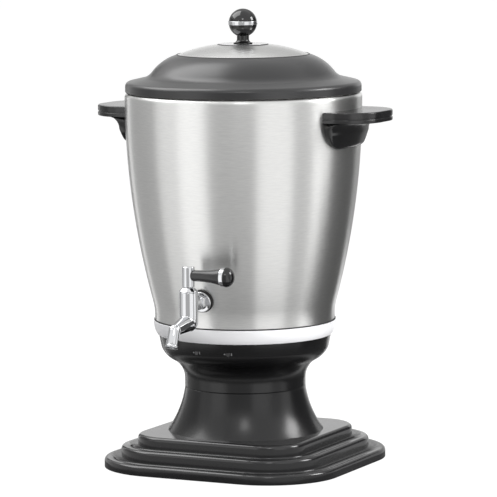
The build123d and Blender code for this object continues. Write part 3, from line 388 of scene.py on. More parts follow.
def buildColumn():
    lean = math.radians(bell["lean"])
    flare = arcPoints((bell["neck"], bell["seam"] - bowl["lip"]), (bell["foot"], bell["low"]),
                      (math.sin(lean), -math.cos(lean)), 28)
    path = joined((bell["neck"] - bowl["lip"], bell["seam"]), flare)
    addPiece("FootBell", spun(walled(path, -bell["wall"])), bodyName, "shadedColumnBlack",
             ["foot_bell"])

    lower = arcPoints((bell["neck"], bell["seam"] + bowl["straight"]), bowl["waist"], (0, 1), 18)
    upper = arcPoints(bowl["waist"], bowl["shoulder"], endSlope(lower), 14)
    path = joined((bell["neck"] - bowl["lip"], bell["seam"]), (bell["neck"], bell["seam"] + bowl["lip"]),
                  lower, upper, (bowl["top"], bowl["high"]))
    bm = spun(walled(path, bowl["wall"]))
    hidden = [f for f in bm.faces if behindPanel(f.calc_center_median())]
    bmesh.ops.delete(bm, geom=hidden, context="FACES")
    addPiece("Bowl", bm, bodyName, "shadedColumnBlack", ["bowl"])

    r = silverRing
    middle = ((r["bottom"] + r["top"]) / 2 + r["bulge"], (r["low"] + r["shelf"]) / 2 + r["bulge"])
    crown = (r["top"], r["high"] - r["bulge"])
    start = (r["bottom"], r["low"])
    control = tuple(2 * m - (a + b) / 2 for m, a, b in zip(middle, start, crown))
    side = bentLine(start, control, crown, 14)
    roll = arcPoints(crown, (r["top"] - r["bulge"], r["high"]), (0, 1), 6)
    under = r["shelf"] - r["shelfWall"]
    outline = joined(side, roll, (r["lip"], r["high"]), (r["lip"], r["shelf"]), (r["bore"], r["shelf"]),
                     (r["bore"], under), (r["inner"], under), (r["inner"], r["low"]))
    addPiece("SilverRing", spun(outline, 160), bodyName, "satinSilver", ["trim_ring"])

    paintedShadowBead(seamShadowLine, bodyName)


# rear panel: a shallow box on the bowl with openings for inlet and switch

panel = dict(halfWidth=33.0, front=88.0, back=60.0, low=101.5, high=127.5, corner=2.5, wall=2.5,
             edge=0.8, holes=((1.3, 28.7, 105.05, 123.95), (-27.7, -8.3, 107.8, 121.2)))


def behindPanel(spot):
    x, y, z = (value / mm for value in spot)
    inset = panel["wall"]
    return (abs(x) < panel["halfWidth"] - inset and y > 0
            and panel["low"] + inset < z < panel["high"] - inset)


def buildPanel():
    bm = bmesh.new()
    size = (2 * panel["halfWidth"], panel["front"] - panel["back"], panel["high"] - panel["low"])
    middle = (0, (panel["front"] + panel["back"]) / 2, (panel["high"] + panel["low"]) / 2)
    place = Matrix.Translation(Vector(middle) * mm) @ Matrix.Diagonal((*[s * mm for s in size], 1))
    bmesh.ops.create_cube(bm, size=1.0, matrix=place)
    rear = min(bm.faces, key=lambda face: face.calc_center_median().y)
    bmesh.ops.delete(bm, geom=[rear], context="FACES")
    long = [e for e in bm.edges if abs(e.verts[0].co.y - e.verts[1].co.y) > 1 * mm]
    bevelled(bm, long, panel["corner"], 5)
    across, upright = (1, 0, 0), (0, 0, 1)
    for x0, x1, z0, z1 in panel["holes"]:
        for axis, value in ((across, x0), (across, x1), (upright, z0), (upright, z1)):
            bmesh.ops.bisect_plane(bm, geom=bm.verts[:] + bm.edges[:] + bm.faces[:],
                                   plane_co=Vector(axis) * value * mm, plane_no=axis)
    for x0, x1, z0, z1 in panel["holes"]:
        cut = [f for f in bm.faces if f.normal.y > 0.9 and x0 < f.calc_center_median().x / mm < x1
               and z0 < f.calc_center_median().z / mm < z1]
        bmesh.ops.delete(bm, geom=cut, context="FACES")
    rim = [e for e in bm.edges if len(e.link_faces) == 2 and e.calc_face_angle() > foldAngle]
    bevelled(bm, rim, panel["edge"], 3)
    piece = addPiece("RearPanel", bm, bodyName, "shadedColumnBlack", ["bowl"])
    piece.modifiers.new("Wall", "SOLIDIFY").thickness = panel["wall"] * mm


buildColumn()
buildPanel()
print("column done")


# vessel wall with a rolled rim

vessel = dict(shelf=140.5, foot=90.6, flare=1.9, join=165.0, mouth=119.0, straight=2.0, rim=5.0, ledge=375.0,
              hem=6.0, ledgeWidth=5.0, sheet=1.0, lip=1.0)


def wallCurve():
    # level of the mouth, then width, height and radius of the wall's bend
    v = vessel
    mouthLevel = v["ledge"] - v["rim"] - v["straight"]
    width = v["mouth"] - v["foot"] - v["flare"]
    height = mouthLevel - v["join"]
    return mouthLevel, width, height, (width ** 2 + height ** 2) / (2 * width)


def wallRadius(level):
    mouthLevel, _, _, bend = wallCurve()
    return vessel["mouth"] - bend + math.sqrt(bend ** 2 - max(mouthLevel - level, 0) ** 2)


def vesselPath():
    v = vessel
    mouthLevel, width, height, bend = wallCurve()
    lean = math.acos(1 - width / bend)
    footBend = v["flare"] / (1 - math.cos(lean))
    footLevel = v["join"] - footBend * math.sin(lean)
    joint = (v["foot"] + v["flare"], v["join"])
    foot = arcPoints((v["foot"], footLevel), joint, (0, 1), 12)
    reach = math.hypot(width, height) / 2 / math.cos(lean / 2)
    control = (joint[0] + math.sin(lean) * reach, joint[1] + math.cos(lean) * reach)
    side = bentLine(joint, control, (v["mouth"], mouthLevel), 40)
    shoulder = arcPoints((v["mouth"], v["ledge"] - v["rim"]), (v["mouth"] - v["rim"], v["ledge"]), (0, 1), 10)
    hem = v["mouth"] - v["rim"] - v["ledgeWidth"]
    lip = arcPoints((hem + v["lip"], v["ledge"]), (hem, v["ledge"] - v["lip"]), (-1, 0), 5)
    return joined((v["foot"], v["shelf"]), foot, side, shoulder, lip, (hem, v["ledge"] - v["hem"]))


addPiece("VesselWall", spun(walled(vesselPath(), vessel["sheet"]), 192), bodyName,
         "wallSteel", ["vessel_wall", "vessel_rim"])
print("vessel done")


# lid and knob

lid = dict(low=375.2, band=118.4, bandTop=380.8, brow=(114.7, 385.6), brim=(101.0, 388.763), slope=13.0,
           waist=(91.2, 395.263), crown=(66.4, 412.063), wall=3.0, hole=2.65, lowRound=0.4)
cap = dict(edge=66.1, seat=411.063, sheet=0.8, rise=10.0, flat=26.0, slope=6.0)
knob = dict(disc=25.0, discHigh=0.8, discRound=0.3, stemFoot=9.5, footHigh=1.2, stem=6.1, stemHigh=8.0,
            ball=14.2, ringWidth=3.8, ringBore=0.5, ringRound=0.5, proud=0.4)
# black rings painted in as the shadow lines at the dome cap's edge and under the knob disc's rim
capShadowLine = dict(name="CapShadowLine", radius=66.3, level=412.0, section=0.5)
discShadowLine = dict(name="DiscShadowLine", radius=25.1, level=422.1, section=0.4)


def buildLid():
    slope = math.radians(lid["slope"])
    brow = arcPoints((lid["band"], lid["bandTop"]), lid["brow"], (0, 1), 10)
    hollow = arcPoints(lid["brim"], lid["waist"], (-math.cos(slope), math.sin(slope)), 12)
    crown = arcPoints(lid["waist"], lid["crown"], endSlope(hollow), 18)
    soft = lid["lowRound"]
    skin = joined((lid["band"] - soft, lid["low"]), (lid["band"], lid["low"] + soft), brow, hollow, crown)
    inside = [p for p in shifted(skin, lid["wall"])[::-1] if p[0] > cap["edge"]]
    plate = cap["seat"] - lid["wall"]
    outline = joined(skin, (lid["crown"][0], cap["seat"]), (lid["hole"], cap["seat"]), (lid["hole"], plate),
                     (cap["edge"], plate), inside)
    addPiece("LidShell", spun(outline, 160), "lid", "lidBlack", ["lid_shell"])

    top = cap["seat"] + cap["sheet"] + cap["rise"]
    fall = math.radians(cap["slope"])
    chord = Vector((cap["edge"] - cap["flat"], -cap["rise"]))
    turn = abs(math.atan2(chord.y, chord.x)) - fall
    reach = chord.length / 2 / math.cos(turn)
    control = (cap["flat"] + math.cos(fall) * reach, top - math.sin(fall) * reach)
    dome = bentLine((cap["flat"], top), control, (cap["edge"], top - cap["rise"]), 24)
    skin = joined((lid["hole"], top), dome)
    addPiece("DomeCap", spun(walled(skin, -cap["sheet"]), 160), "lid", "discSteel",
             ["lid_dome_cap"])
    paintedShadowBead(capShadowLine, "lid")
    paintedShadowBead(discShadowLine, "lid")

    k = knob
    low = top + k["discHigh"]
    disc = [(lid["hole"], top), (k["disc"], top), (k["disc"], low), (lid["hole"], low)]
    addPiece("KnobDisc", spun(roundedCorners(disc, k["discRound"]), 96), "lid",
             "dimmedPolishedSteel", ["knob_disc"])

    foot = low + k["footHigh"]
    sweep = arcPoints((k["stemFoot"], foot), (k["stem"], foot + k["stemFoot"] - k["stem"]), (-1, 0), 8)
    stemTop = low + k["stemHigh"]
    stem = joined((lid["hole"], low), (k["stemFoot"], low), sweep, (k["stem"], stemTop),
                  (lid["hole"], stemTop))
    addPiece("KnobStem", spun(stem, 64), "lid", "glossBlack", ["knob_stem"])

    centre = stemTop + math.sqrt(k["ball"] ** 2 - k["stem"] ** 2)
    half = k["ringWidth"] / 2
    girth = math.sqrt(k["ball"] ** 2 - half ** 2)
    lowArc = arcPoints((k["stem"], stemTop), (girth, centre - half), (centre - stemTop, k["stem"]), 16)
    addPiece("KnobLowerHalf", spun(joined((0, stemTop), lowArc, (0, centre - half)), 72), "lid",
             "glossBlack", ["knob_lower_half"])
    reach = k["ball"] + k["proud"]
    band = [(k["ringBore"], centre - half), (reach, centre - half), (reach, centre + half),
            (k["ringBore"], centre + half)]
    addPiece("KnobBand", spun(roundedCorners(band, k["ringRound"]), 72), "lid", "chrome",
             ["knob_ring"])
    highArc = arcPoints((girth, centre + half), (0, centre + k["ball"]), (-half, girth), 18)
    addPiece("KnobUpperHalf", spun(joined((0, centre + half), highArc), 72), "lid",
             "glossBlack", ["knob_upper_half"])


buildLid()
print("lid done")


# side handles: a board in two layers on a curved plate

handle = dict(tip=155.4, half=47.4, corner=38.0, top=359.8, parting=354.0, groove=353.0, shelf=348.8,
              round=1.2, grooveDepth=0.8, plateLow=322.5, plateTop=6.8, plateFoot=4.5, plateRound=4.0,
              toe=1.0, cove=11.5, tuck=0.5, plateCorner=22.3, gap=0.15, softEdge=0.4, lipRound=1.0,
              cheekRound=1.2, clear=1.0)


def boardFace(bm, inset, level):
    # plan of the grip: wall arc, straight sides and round outer corners
    half = handle["half"] - inset
    corner = handle["corner"] - inset
    tip = handle["tip"] - inset
    root = wallRadius(level) + handle["gap"]
    turn = math.asin(half / root)
    inner = [(root * math.cos(turn * t), root * math.sin(turn * t)) for t in (i / 12 - 1 for i in range(25))]
    outer = arcPoints((tip - corner, half), (tip, half - corner), (1, 0), 16)
    outer += arcPoints((tip, corner - half), (tip - corner, -half), (0, -1), 16)
    return bm.faces.new([bm.verts.new((x * mm, y * mm, level * mm)) for x, y in joined(inner, outer)])


def rimEdges(bm, level):
    # level edges of the grip that don't lie against the vessel
    reach = wallRadius(level) + handle["clear"]
    return [e for e in bm.edges if all(abs(v.co.z / mm - level) < 0.01 for v in e.verts)
            and max(math.hypot(v.co.x, v.co.y) for v in e.verts) / mm > reach]


def roundRim(bm, level, radius):
    bevelled(bm, rimEdges(bm, level), radius, 6)


def mirrored(bm):
    bmesh.ops.scale(bm, vec=(-1, 1, 1), verts=bm.verts)
    bmesh.ops.reverse_faces(bm, faces=bm.faces)
    return bm


def buildCover():
    h = handle
    bm = bmesh.new()
    raised(bm, boardFace(bm, 0, h["parting"]), (h["top"] - h["parting"]) * mm)
    roundRim(bm, h["top"], h["round"])
    roundRim(bm, h["parting"], h["softEdge"])
    return bm


def buildBoard():
    h = handle
    bm = bmesh.new()
    raised(bm, boardFace(bm, 0, h["shelf"]), (h["groove"] - h["shelf"]) * mm)
    roundRim(bm, h["shelf"], h["round"])
    roundRim(bm, h["groove"], h["lipRound"])
    raised(bm, boardFace(bm, h["grooveDepth"], h["groove"]), (h["parting"] - h["groove"]) * mm)
    return bm


def plateHalf(radius, level):
    # half width of the plate: straight above, rounded below, and never wider than the board above it
    h = handle
    corner = h["plateCorner"]
    over = h["plateLow"] + corner - level
    half = h["half"] if over <= 0 else h["half"] - corner + math.sqrt(max(corner ** 2 - over ** 2, 0.0))
    bend = h["tip"] - h["corner"]
    for _ in range(4):
        beyond = math.sqrt(radius ** 2 - half ** 2) - bend
        if beyond > 0:
            bulge = math.sqrt(max(h["corner"] ** 2 - beyond ** 2, 0.0))
            half = min(half, h["half"] - h["corner"] + bulge)
    return half


def buildPlate():
    h = handle
    topX = wallRadius(h["shelf"]) + h["plateTop"]
    low = h["plateLow"]
    cove = arcPoints((topX + h["cove"], h["shelf"] + h["tuck"]), (topX, h["shelf"] - h["cove"]), (-1, 0), 14)
    sideEnd = (wallRadius(low) + h["plateFoot"], low + h["plateRound"])
    count = 14
    side = [tuple(Vector(cove[-1]).lerp(Vector(sideEnd), i / count)) for i in range(1, count + 1)]
    toe = arcPoints(sideEnd, (wallRadius(low) + h["toe"], low), endSlope(side), 10)
    bm = bmesh.new()
    rows = [plateRow(bm, radius, level) for radius, level in joined(cove, side, toe)]
    for upper, lower in zip(rows, rows[1:]):
        bmesh.ops.bridge_loops(bm, edges=upper + lower)
    rim = [e for e in bm.edges if e.is_boundary]
    made = bmesh.ops.extrude_edge_only(bm, edges=rim)["geom"]
    for v in (v for v in made if isinstance(v, bmesh.types.BMVert)):
        reach = (wallRadius(v.co.z / mm) + h["gap"]) * mm / math.hypot(v.co.x, v.co.y)
        v.co = (v.co.x * reach, v.co.y * reach, v.co.z)
    cheeks = [e for e in rim if max(v.co.z for v in e.verts) / mm < h["shelf"] - h["tuck"]]
    bevelled(bm, cheeks, h["cheekRound"], 3)
    return bm


def plateRow(bm, radius, level):
    turn = math.asin(min(plateHalf(radius, level) / radius, 0.99))
    start = bm.verts.new((radius * math.cos(turn) * mm, -radius * math.sin(turn) * mm, level * mm))
    known = set(bm.edges)
    bmesh.ops.spin(bm, geom=[start], cent=(0, 0, 0), axis=(0, 0, 1), angle=2 * turn, steps=20)
    return [e for e in bm.edges if e not in known]


def handlePiece(name, bm, node, side):
    bm = mirrored(bm) if side == "left" else bm
    return addPiece(name + side.capitalize(), bm, bodyName, "handleBlack",
                    [node + "_" + side])


for side in ("right", "left"):
    evenShading(handlePiece("HandleCover", buildCover(), "handle_cover", side))
    evenShading(handlePiece("HandleBoard", buildBoard(), "handle_bracket", side))
    handlePiece("HandlePlate", buildPlate(), "handle_bracket", side)
print("handles done")


# tap lever and bonnet, turned about the barrel's axis

tap = dict(y=-124.986, axis=175.0, barrel=9.3, barrelHigh=187.5, barrelLow=157.5, bonnetTop=191.7,
           bonnetRadius=6.0, bonnetRound=0.25, skirt=0.8, stem=3.1, collar=4.6, collarHigh=0.55, hub=6.2,
           hubLow=192.5, hubHigh=212.5, hubChamfer=0.8, hubRound=0.4, lever=203.7)
lever = dict(root=5.6, rootRadius=5.4, waist=14.0, waistRadius=5.6, flareEnd=36.8, flare=8.7, ring=9.5,
             ringEnd=41.2, ringRound=0.5, cap=9.7, tip=49.2)


def alongLever(outline, steps=72):
    bm = spun(outline, steps)
    turn = Matrix.Rotation(math.pi / 2, 4, "Y")
    place = Matrix.Translation((0, tap["y"] * mm, tap["lever"] * mm))
    bmesh.ops.transform(bm, matrix=place @ turn, verts=bm.verts)
    return bm


def buildLever():
    t = tap
    collarTop = t["bonnetTop"] + t["collarHigh"]
    bonnet = [(t["stem"], t["barrelHigh"]), (t["barrel"], t["barrelHigh"]),
              (t["barrel"], t["barrelHigh"] + t["skirt"]), (t["bonnetRadius"], t["bonnetTop"]),
              (t["collar"], t["bonnetTop"]), (t["collar"], collarTop), (t["stem"], collarTop)]
    addPiece("TapBonnet", spun(roundedCorners(bonnet, t["bonnetRound"]), 72, (0, t["y"])), bodyName,
             "chrome", ["tap_bonnet"])
    cut = t["hubChamfer"]
    hub = [(0, t["hubLow"]), (t["hub"], t["hubLow"]), (t["hub"], t["hubHigh"] - cut),
           (t["hub"] - cut, t["hubHigh"]), (0, t["hubHigh"])]
    addPiece("LeverHub", spun(roundedCorners(hub, t["hubRound"]), 72, (0, t["y"])), "tap_lever",
             "chrome", ["lever_hub"])
    v = lever
    flare = arcPoints((v["waistRadius"], v["waist"]), (v["flare"], v["flareEnd"]), (0, 1), 16)
    grip = joined((0, v["root"]), (v["rootRadius"], v["root"]), flare, (0, v["flareEnd"]))
    addPiece("LeverGrip", alongLever(grip), "tap_lever", "satinBlack", ["lever_grip"])
    band = [(0, v["flareEnd"]), (v["ring"], v["flareEnd"]), (v["ring"], v["ringEnd"]), (0, v["ringEnd"])]
    addPiece("LeverBand", alongLever(roundedCorners(band, v["ringRound"])), "tap_lever", "chrome",
             ["lever_ring"])
    length = v["tip"] - v["ringEnd"]
    dome = [(v["cap"] * math.cos(a), v["ringEnd"] + length * math.sin(a))
            for a in (math.pi / 2 * i / 18 for i in range(19))]
    addPiece("LeverEndCap", alongLever(joined((0, v["ringEnd"]), dome)), "tap_lever",
             "glossBlack", ["lever_end_cap"])


buildLever()
print("lever done")


# tap casting: barrel, spout and their joints melt into one form, then fine turned pieces go on it

casting = dict(voxel=0.45, smoothing=12, spoutReach=30.5, spoutDrop=21.8, spoutStart=9.0, spoutEnd=5.4,
               knuckle=5.9, nozzleReach=37.0, nozzleDrop=38.0, nozzleRound=0.35, outlet=6.4, bore=3.6,
               boreStart=2.0, groove=0.2, grooveRise=(3.2, 2.8, 2.2), hexFlats=15.0, hexReach=12.5,
               hexRound=0.5, shank=6.5, shankBore=4.0, shankInside=17.0, threadPitch=1.5, threadDepth=0.5,
               gasket=2.0, flange=10.8, flangeHigh=2.8, flangeGap=0.2, flangeRound=1.0)


def placeAlong(start, direction):
    turn = Vector((0, 0, 1)).rotation_difference(Vector(direction))
    return Matrix.Translation(Vector(start) * mm) @ turn.to_matrix().to_4x4()


def addRod(bm, start, end, radius, endRadius):
    run = Vector(end) - Vector(start)
    place = placeAlong((Vector(start) + Vector(end)) / 2, run)
    bmesh.ops.create_cone(bm, cap_ends=True, segments=64, radius1=radius * mm, radius2=endRadius * mm,
                          depth=run.length * mm, matrix=place)


def addBall(bm, centre, radius):
    bmesh.ops.create_uvsphere(bm, u_segments=48, v_segments=32, radius=radius * mm,
                              matrix=Matrix.Translation(Vector(centre) * mm))


def spunAlong(outline, start, direction, steps=72):
    bm = spun(outline, steps)
    bmesh.ops.transform(bm, matrix=placeAlong(start, direction), verts=bm.verts)
    return bm


def buildTap():
    t, c = tap, casting
    wall = wallRadius(t["axis"])
    foot = Vector((0, t["y"], t["barrelLow"]))
    knuckle = Vector((0, t["y"] - c["spoutReach"], t["axis"] - c["spoutDrop"]))
    outlet = Vector((0, t["y"] - c["nozzleReach"], t["axis"] - c["nozzleDrop"]))
    bm = bmesh.new()
    addRod(bm, foot, (0, t["y"], t["barrelHigh"]), t["barrel"], t["barrel"])
    addBall(bm, foot, t["barrel"])
    addRod(bm, foot, knuckle, c["spoutStart"], c["spoutEnd"])
    addBall(bm, knuckle, c["knuckle"])
    addRod(bm, (0, -wall - c["gasket"], t["axis"]), (0, t["y"], t["axis"]), c["shank"], c["shank"])
    body = addPiece("TapCasting", bm, bodyName, "chrome", ["tap_body"])
    melt = body.modifiers.new("Melt", "REMESH")
    melt.mode = "VOXEL"
    melt.voxel_size = c["voxel"] * mm
    melt.use_smooth_shade = True
    soften = body.modifiers.new("Soften", "SMOOTH")
    soften.iterations = c["smoothing"]

    length = (outlet - knuckle).length
    lip, neck, collar = (length - rise for rise in c["grooveRise"])
    nozzle = [(0, 0), (c["knuckle"], 0), (c["knuckle"] + c["groove"], lip),
              (c["knuckle"] - c["groove"], neck), (c["outlet"], collar), (c["outlet"], length),
              (c["bore"], length), (c["bore"], c["boreStart"]), (0, c["boreStart"])]
    addPiece("TapNozzle", spunAlong(roundedCorners(nozzle, c["nozzleRound"]), knuckle, outlet - knuckle),
             bodyName, "chrome", ["tap_body"])

    bm = bmesh.new()
    face = wall + c["gasket"] + c["flangeHigh"] / 2
    end = wall + c["hexReach"]
    hexRadius = c["hexFlats"] / math.sqrt(3) * mm
    bmesh.ops.create_cone(bm, cap_ends=True, segments=6, radius1=hexRadius, radius2=hexRadius,
                          depth=(end - face) * mm,
                          matrix=placeAlong((0, -(face + end) / 2, t["axis"]), (0, -1, 0)))
    bevelled(bm, bm.edges[:], c["hexRound"], 3)
    addPiece("TapCollar", bm, bodyName, "chrome", ["tap_body"])

    count = int(c["shankInside"] / c["threadPitch"])
    thread = []
    for turn in range(count):
        low = turn * c["threadPitch"]
        thread += [(c["shank"] - c["threadDepth"], low), (c["shank"], low + c["threadPitch"] / 2)]
    tube = joined(thread, (c["shank"], c["shankInside"]), (c["shankBore"], c["shankInside"]),
                  (c["shankBore"], 0))
    addPiece("TapShank", spunAlong(tube, (0, c["shankInside"] - wall, t["axis"]), (0, -1, 0)), bodyName,
             "chrome", ["tap_body"])

    lean = math.atan2(wallRadius(t["axis"] + 1) - wallRadius(t["axis"] - 1), 2)
    normal = Vector((0, -math.cos(lean), -math.sin(lean)))
    bore = c["shank"] + c["flangeGap"]
    disc = [(bore, 0), (c["flange"], 0), (c["flange"], c["flangeHigh"]), (bore, c["flangeHigh"])]
    start = Vector((0, -wall, t["axis"])) + normal * c["gasket"]
    addPiece("TapFlange", spunAlong(roundedCorners(disc, c["flangeRound"], 6), start, normal), bodyName,
             "chrome", ["tap_flange"])


buildTap()
print("tap done")


# rear fittings keep their solids' shape with softened moulded edges

rearFittings = [
    dict(name="InletSocket", node="inlet_socket", body=bodyName, edge=0.35),
    dict(name="InletPins", node="inlet_pins", body=bodyName, edge=0.3),
    dict(name="SwitchFrame", node="switch_frame", body=bodyName, edge=0.35),
    dict(name="SwitchRocker", node="switch_rocker", body="rocker", edge=0.3),
]
slotOf = {entry["node"]: entry["material_slot"] for entry in frame["record"]["subparts"]}
softening = dict(doubles=0.01, flatWithin=1, sharpFrom=50)


def softenedCopy(fitting):
    bm = bmesh.new()
    bm.from_mesh(frame["nodes"][fitting["node"]].data)
    flat, corner = (math.radians(softening[key]) for key in ("flatWithin", "sharpFrom"))
    bmesh.ops.remove_doubles(bm, verts=bm.verts, dist=softening["doubles"] * mm)
    bmesh.ops.dissolve_limit(bm, angle_limit=flat, verts=bm.verts, edges=bm.edges)
    sharp = [e for e in bm.edges if len(e.link_faces) == 2 and e.calc_face_angle() > corner]
    bevelled(bm, sharp, fitting["edge"], 3, clamp=True)
    slot = slotOf[fitting["node"]]
    evenShading(addPiece(fitting["name"], bm, fitting["body"], slotFinish[slot], [fitting["node"]]))


for fitting in rearFittings:
    softenedCopy(fitting)
print("rear fittings done")


# printed marks beside the two indicator lenses: plain dots and bars

marks = dict(level=121.0, lensAngles=(-8.5, 14.5), proud=0.06, dot=0.8, barWidth=1.1, barHigh=2.6, apart=3.6)


def sidePlace(angle, level):
    lean = math.atan2(bowl["top"] - bowl["shoulder"][0], bowl["high"] - bowl["shoulder"][1])
    share = (level - bowl["shoulder"][1]) / (bowl["high"] - bowl["shoulder"][1])
    radius = bowl["shoulder"][0] + (bowl["top"] - bowl["shoulder"][0]) * share
    turn = Matrix.Rotation(math.radians(angle), 4, "Z")
    tilt = Matrix.Rotation(math.pi / 2 + lean, 4, "X")
    return turn @ Matrix.Translation((0, -radius * mm, level * mm)) @ tilt


def buildMarks():
    m = marks
    spread = math.degrees(m["apart"] / bowl["top"])
    bm = bmesh.new()
    for angle in m["lensAngles"]:
        bmesh.ops.create_cone(bm, cap_ends=True, segments=24, radius1=m["dot"] * mm, radius2=m["dot"] * mm,
                              depth=2 * m["proud"] * mm, matrix=sidePlace(angle - spread, m["level"]))
        bar = Matrix.Diagonal((m["barWidth"] * mm, m["barHigh"] * mm, 2 * m["proud"] * mm, 1))
        bmesh.ops.create_cube(bm, size=1.0, matrix=sidePlace(angle + spread, m["level"]) @ bar)
    addPiece("PrintedMarks", bm, bodyName, "printGrey")


buildMarks()
print("marks done")


# camera at the photograph's angle

view = dict(azimuth=26.0, elevation=6.75, distance=3510.0, roll=-0.40, across=4.06, height=216.34, lens=252.6,
            sensor=36.0, clipNear=0.1, clipFar=100.0)


def buildCamera():
    a, e, roll = (math.radians(view[key]) for key in ("azimuth", "elevation", "roll"))
    back = Vector((math.sin(a) * math.cos(e), -math.cos(a) * math.cos(e), math.sin(e)))
    right = Vector((math.cos(a), math.sin(a), 0))
    up = back.cross(right)
    tiltedRight = right * math.cos(roll) + up * math.sin(roll)
    tiltedUp = up * math.cos(roll) - right * math.sin(roll)
    spot = (back * view["distance"] + Vector((0, 0, view["height"])) + right * view["across"]) * mm
    data = bpy.data.cameras.new("Camera")
    data.lens = view["lens"]
    data.sensor_width = view["sensor"]
    data.clip_start = view["clipNear"]
    data.clip_end = view["clipFar"]
    camera = bpy.data.objects.new("Camera", data)
    turn = Matrix((tiltedRight, tiltedUp, back)).transposed().to_4x4()
    camera.matrix_world = Matrix.Translation(spot) @ turn
    bpy.context.scene.collection.objects.link(camera)
    bpy.context.scene.camera = camera


buildCamera()


# studio: pale floor, soft lamps, and grey cards that only show in the metal

def stagePiece(name, bm, material):
    mesh = bpy.data.meshes.new(name)
    bm.to_mesh(mesh)
    bm.free()
    piece = bpy.data.objects.new(name, mesh)
    bpy.context.scene.collection.objects.link(piece)
    mesh.materials.append(material)
    return piece


def seenLight(tree):
    # 1 for rays that show the backdrop: straight, mirrored or through glass
    path = addNode(tree, "ShaderNodeLightPath").outputs
    seen = path["Is Camera Ray"]
    for kind in ("Is Glossy Ray", "Is Transmission Ray"):
        seen = addNode(tree, "ShaderNodeMath", links={0: seen, 1: path[kind]}, operation="MAXIMUM").outputs[0]
    return seen


floorLook = dict(size=30.0, paper="#c4c4c4", seenPaper="#7a7a7a", glow=0.92)
skyLook = dict(fill=0.45, seen=1.0)


def buildFloor():
    bm = bmesh.new()
    bmesh.ops.create_grid(bm, x_segments=1, y_segments=1, size=floorLook["size"])
    material, tree = newMaterial("StudioPaper")
    matt = addNode(tree, "ShaderNodeBsdfDiffuse", {"Color": hexColor(floorLook["paper"])})
    faint = addNode(tree, "ShaderNodeBsdfDiffuse", {"Color": hexColor(floorLook["seenPaper"])})
    glow = addNode(tree, "ShaderNodeEmission", {"Color": (1, 1, 1, 1), "Strength": floorLook["glow"]})
    shown = addNode(tree, "ShaderNodeAddShader", links={0: faint.outputs[0], 1: glow.outputs[0]})
    mix = addNode(tree, "ShaderNodeMixShader",
                  links={0: seenLight(tree), 1: matt.outputs[0], 2: shown.outputs[0]})
    closeMaterial(tree, mix)
    stagePiece("Floor", bm, material)


def buildWorld():
    world = bpy.data.worlds.new("Studio")
    world.use_nodes = True
    tree = world.node_tree
    tree.nodes.clear()
    level = ranged(tree, seenLight(tree), skyLook["fill"], skyLook["seen"])
    sky = addNode(tree, "ShaderNodeBackground", {"Color": (1, 1, 1, 1)}, {"Strength": level})
    addNode(tree, "ShaderNodeOutputWorld", links={"Surface": sky.outputs[0]})
    bpy.context.scene.world = world


# angles count from the camera's side, positive to its right; grey is a card's brightness
cards = [
    dict(name="CardFarLeft", start=-162.0, end=-152.0, grey=0.05),
    dict(name="CardLeft", start=-142.0, end=-92.0, grey=0.42),
    dict(name="CardLeftSoft", start=-92.0, end=-66.0, grey=0.85),
    dict(name="LeftBoxFace", start=-64.0, end=-39.0, grey=1.25),
    dict(name="CardMiddle", start=-35.0, end=12.0, grey=0.52),
    dict(name="RightBoxFace", start=14.0, end=40.0, grey=1.15),
    dict(name="CardRightSoft", start=48.0, end=70.0, grey=0.64),
    dict(name="CardRightNear", start=72.5, end=150.0, grey=0.10, reach=(0.30, 0.50)),
    dict(name="CardRightMiddle", start=81.5, end=145.0, grey=0.10, reach=(0.50, 1.10)),
    dict(name="CardRight", start=92.0, end=141.0, grey=0.10, reach=(1.10, 2.2)),
    dict(name="CardRightEdge", start=141.0, end=168.0, grey=0.34, reach=(1.10, 2.2), high=0.3),
]
# card, table and lamp distances are in metres
cardRoom = dict(near=0.30, far=2.2, high=1.2, lift=0.0004)
table = dict(radius=0.30, grey=0.16, lift=0.0003)
bounce = dict(name="BounceStrip", start=-180.0, end=180.0, far=0.17, high=0.026, grey=0.62)
ceiling = dict(name="CeilingBehind", start=100.0, end=200.0, low=0.95, high=2.6, far=2.3, grey=0.55)


def glowPaint(name, grey):
    material, tree = newMaterial(name)
    closeMaterial(tree, addNode(tree, "ShaderNodeEmission", {"Color": (1, 1, 1, 1), "Strength": grey}))
    return material


def onlyMirrored(piece):
    piece.visible_camera = False
    piece.visible_diffuse = False
    piece.visible_shadow = False
    piece.visible_transmission = False


def headingOf(angle):
    return math.radians(view["azimuth"] + angle - 90)


def sweptCard(name, start, end, corners, grey):
    # a bent strip (distance, height) turned about the object's axis
    bm = bmesh.new()
    heading = headingOf(start)
    strip = [bm.verts.new((math.cos(heading) * r, math.sin(heading) * r, z)) for r, z in corners]
    edges = [bm.edges.new(pair) for pair in zip(strip, strip[1:])]
    bmesh.ops.spin(bm, geom=strip + edges, cent=(0, 0, 0), axis=(0, 0, 1), angle=math.radians(end - start),
                   steps=12)
    onlyMirrored(stagePiece(name, bm, glowPaint(name + "Paint", grey)))


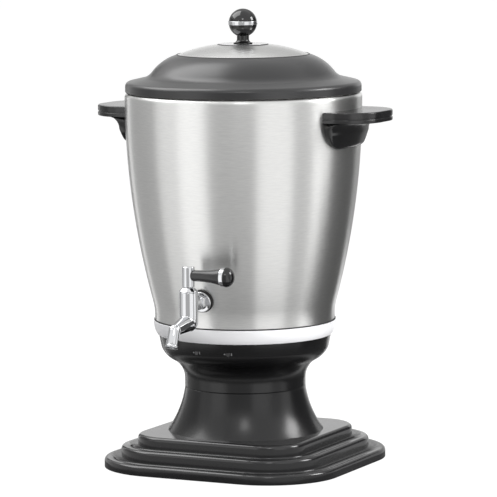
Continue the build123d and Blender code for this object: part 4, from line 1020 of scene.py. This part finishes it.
def buildCards():
    r = cardRoom
    for card in cards:
        near, far = card.get("reach", (r["near"], r["far"]))
        corners = [(near, r["lift"]), (far, r["lift"])]
        if far == r["far"]:
            corners.append((far, card.get("high", r["high"])))
        sweptCard(card["name"], card["start"], card["end"], corners, card["grey"])
    c = ceiling
    sweptCard(c["name"], c["start"], c["end"], [(c["far"], c["low"]), (c["far"], c["high"])], c["grey"])
    b = bounce
    sweptCard(b["name"], b["start"], b["end"], [(b["far"], r["lift"]), (b["far"], b["high"])], b["grey"])
    bm = bmesh.new()
    bmesh.ops.create_circle(bm, cap_ends=True, segments=64, radius=table["radius"],
                            matrix=Matrix.Translation((0, 0, table["lift"])))
    onlyMirrored(stagePiece("DarkTable", bm, glowPaint("DarkTablePaint", table["grey"])))


lampAim = 0.2  # height that the lamps look at, in metres
lamps = [
    dict(name="FrontBox", angle=-2.0, rise=38.0, distance=2.2, size=0.4, power=2.5),
    dict(name="RightBox", angle=88.0, rise=31.0, distance=2.2, size=0.7, power=15.0),
    dict(name="TopBox", angle=-106.0, rise=56.0, distance=2.0, size=1.6, power=26.0),
    dict(name="PaintFill", angle=48.0, rise=8.0, distance=2.2, size=1.2, power=42.0, mirrored=False),
]


def buildLamp(lamp):
    data = bpy.data.lights.new(lamp["name"], "AREA")
    data.shape = "SQUARE"
    data.size = lamp["size"]
    data.energy = lamp["power"]
    heading, rise = headingOf(lamp["angle"]), math.radians(lamp["rise"])
    aim = Vector((math.cos(heading) * math.cos(rise), math.sin(heading) * math.cos(rise), math.sin(rise)))
    spot = aim * lamp["distance"] + Vector((0, 0, lampAim))
    piece = bpy.data.objects.new(lamp["name"], data)
    piece.visible_glossy = lamp.get("mirrored", True)
    piece.matrix_world = Matrix.Translation(spot) @ (-aim).to_track_quat("-Z", "Y").to_matrix().to_4x4()
    bpy.context.scene.collection.objects.link(piece)


buildFloor()
buildWorld()
buildCards()
for lamp in lamps:
    buildLamp(lamp)
bpy.context.scene.view_settings.view_transform = "Standard"
print("studio done")
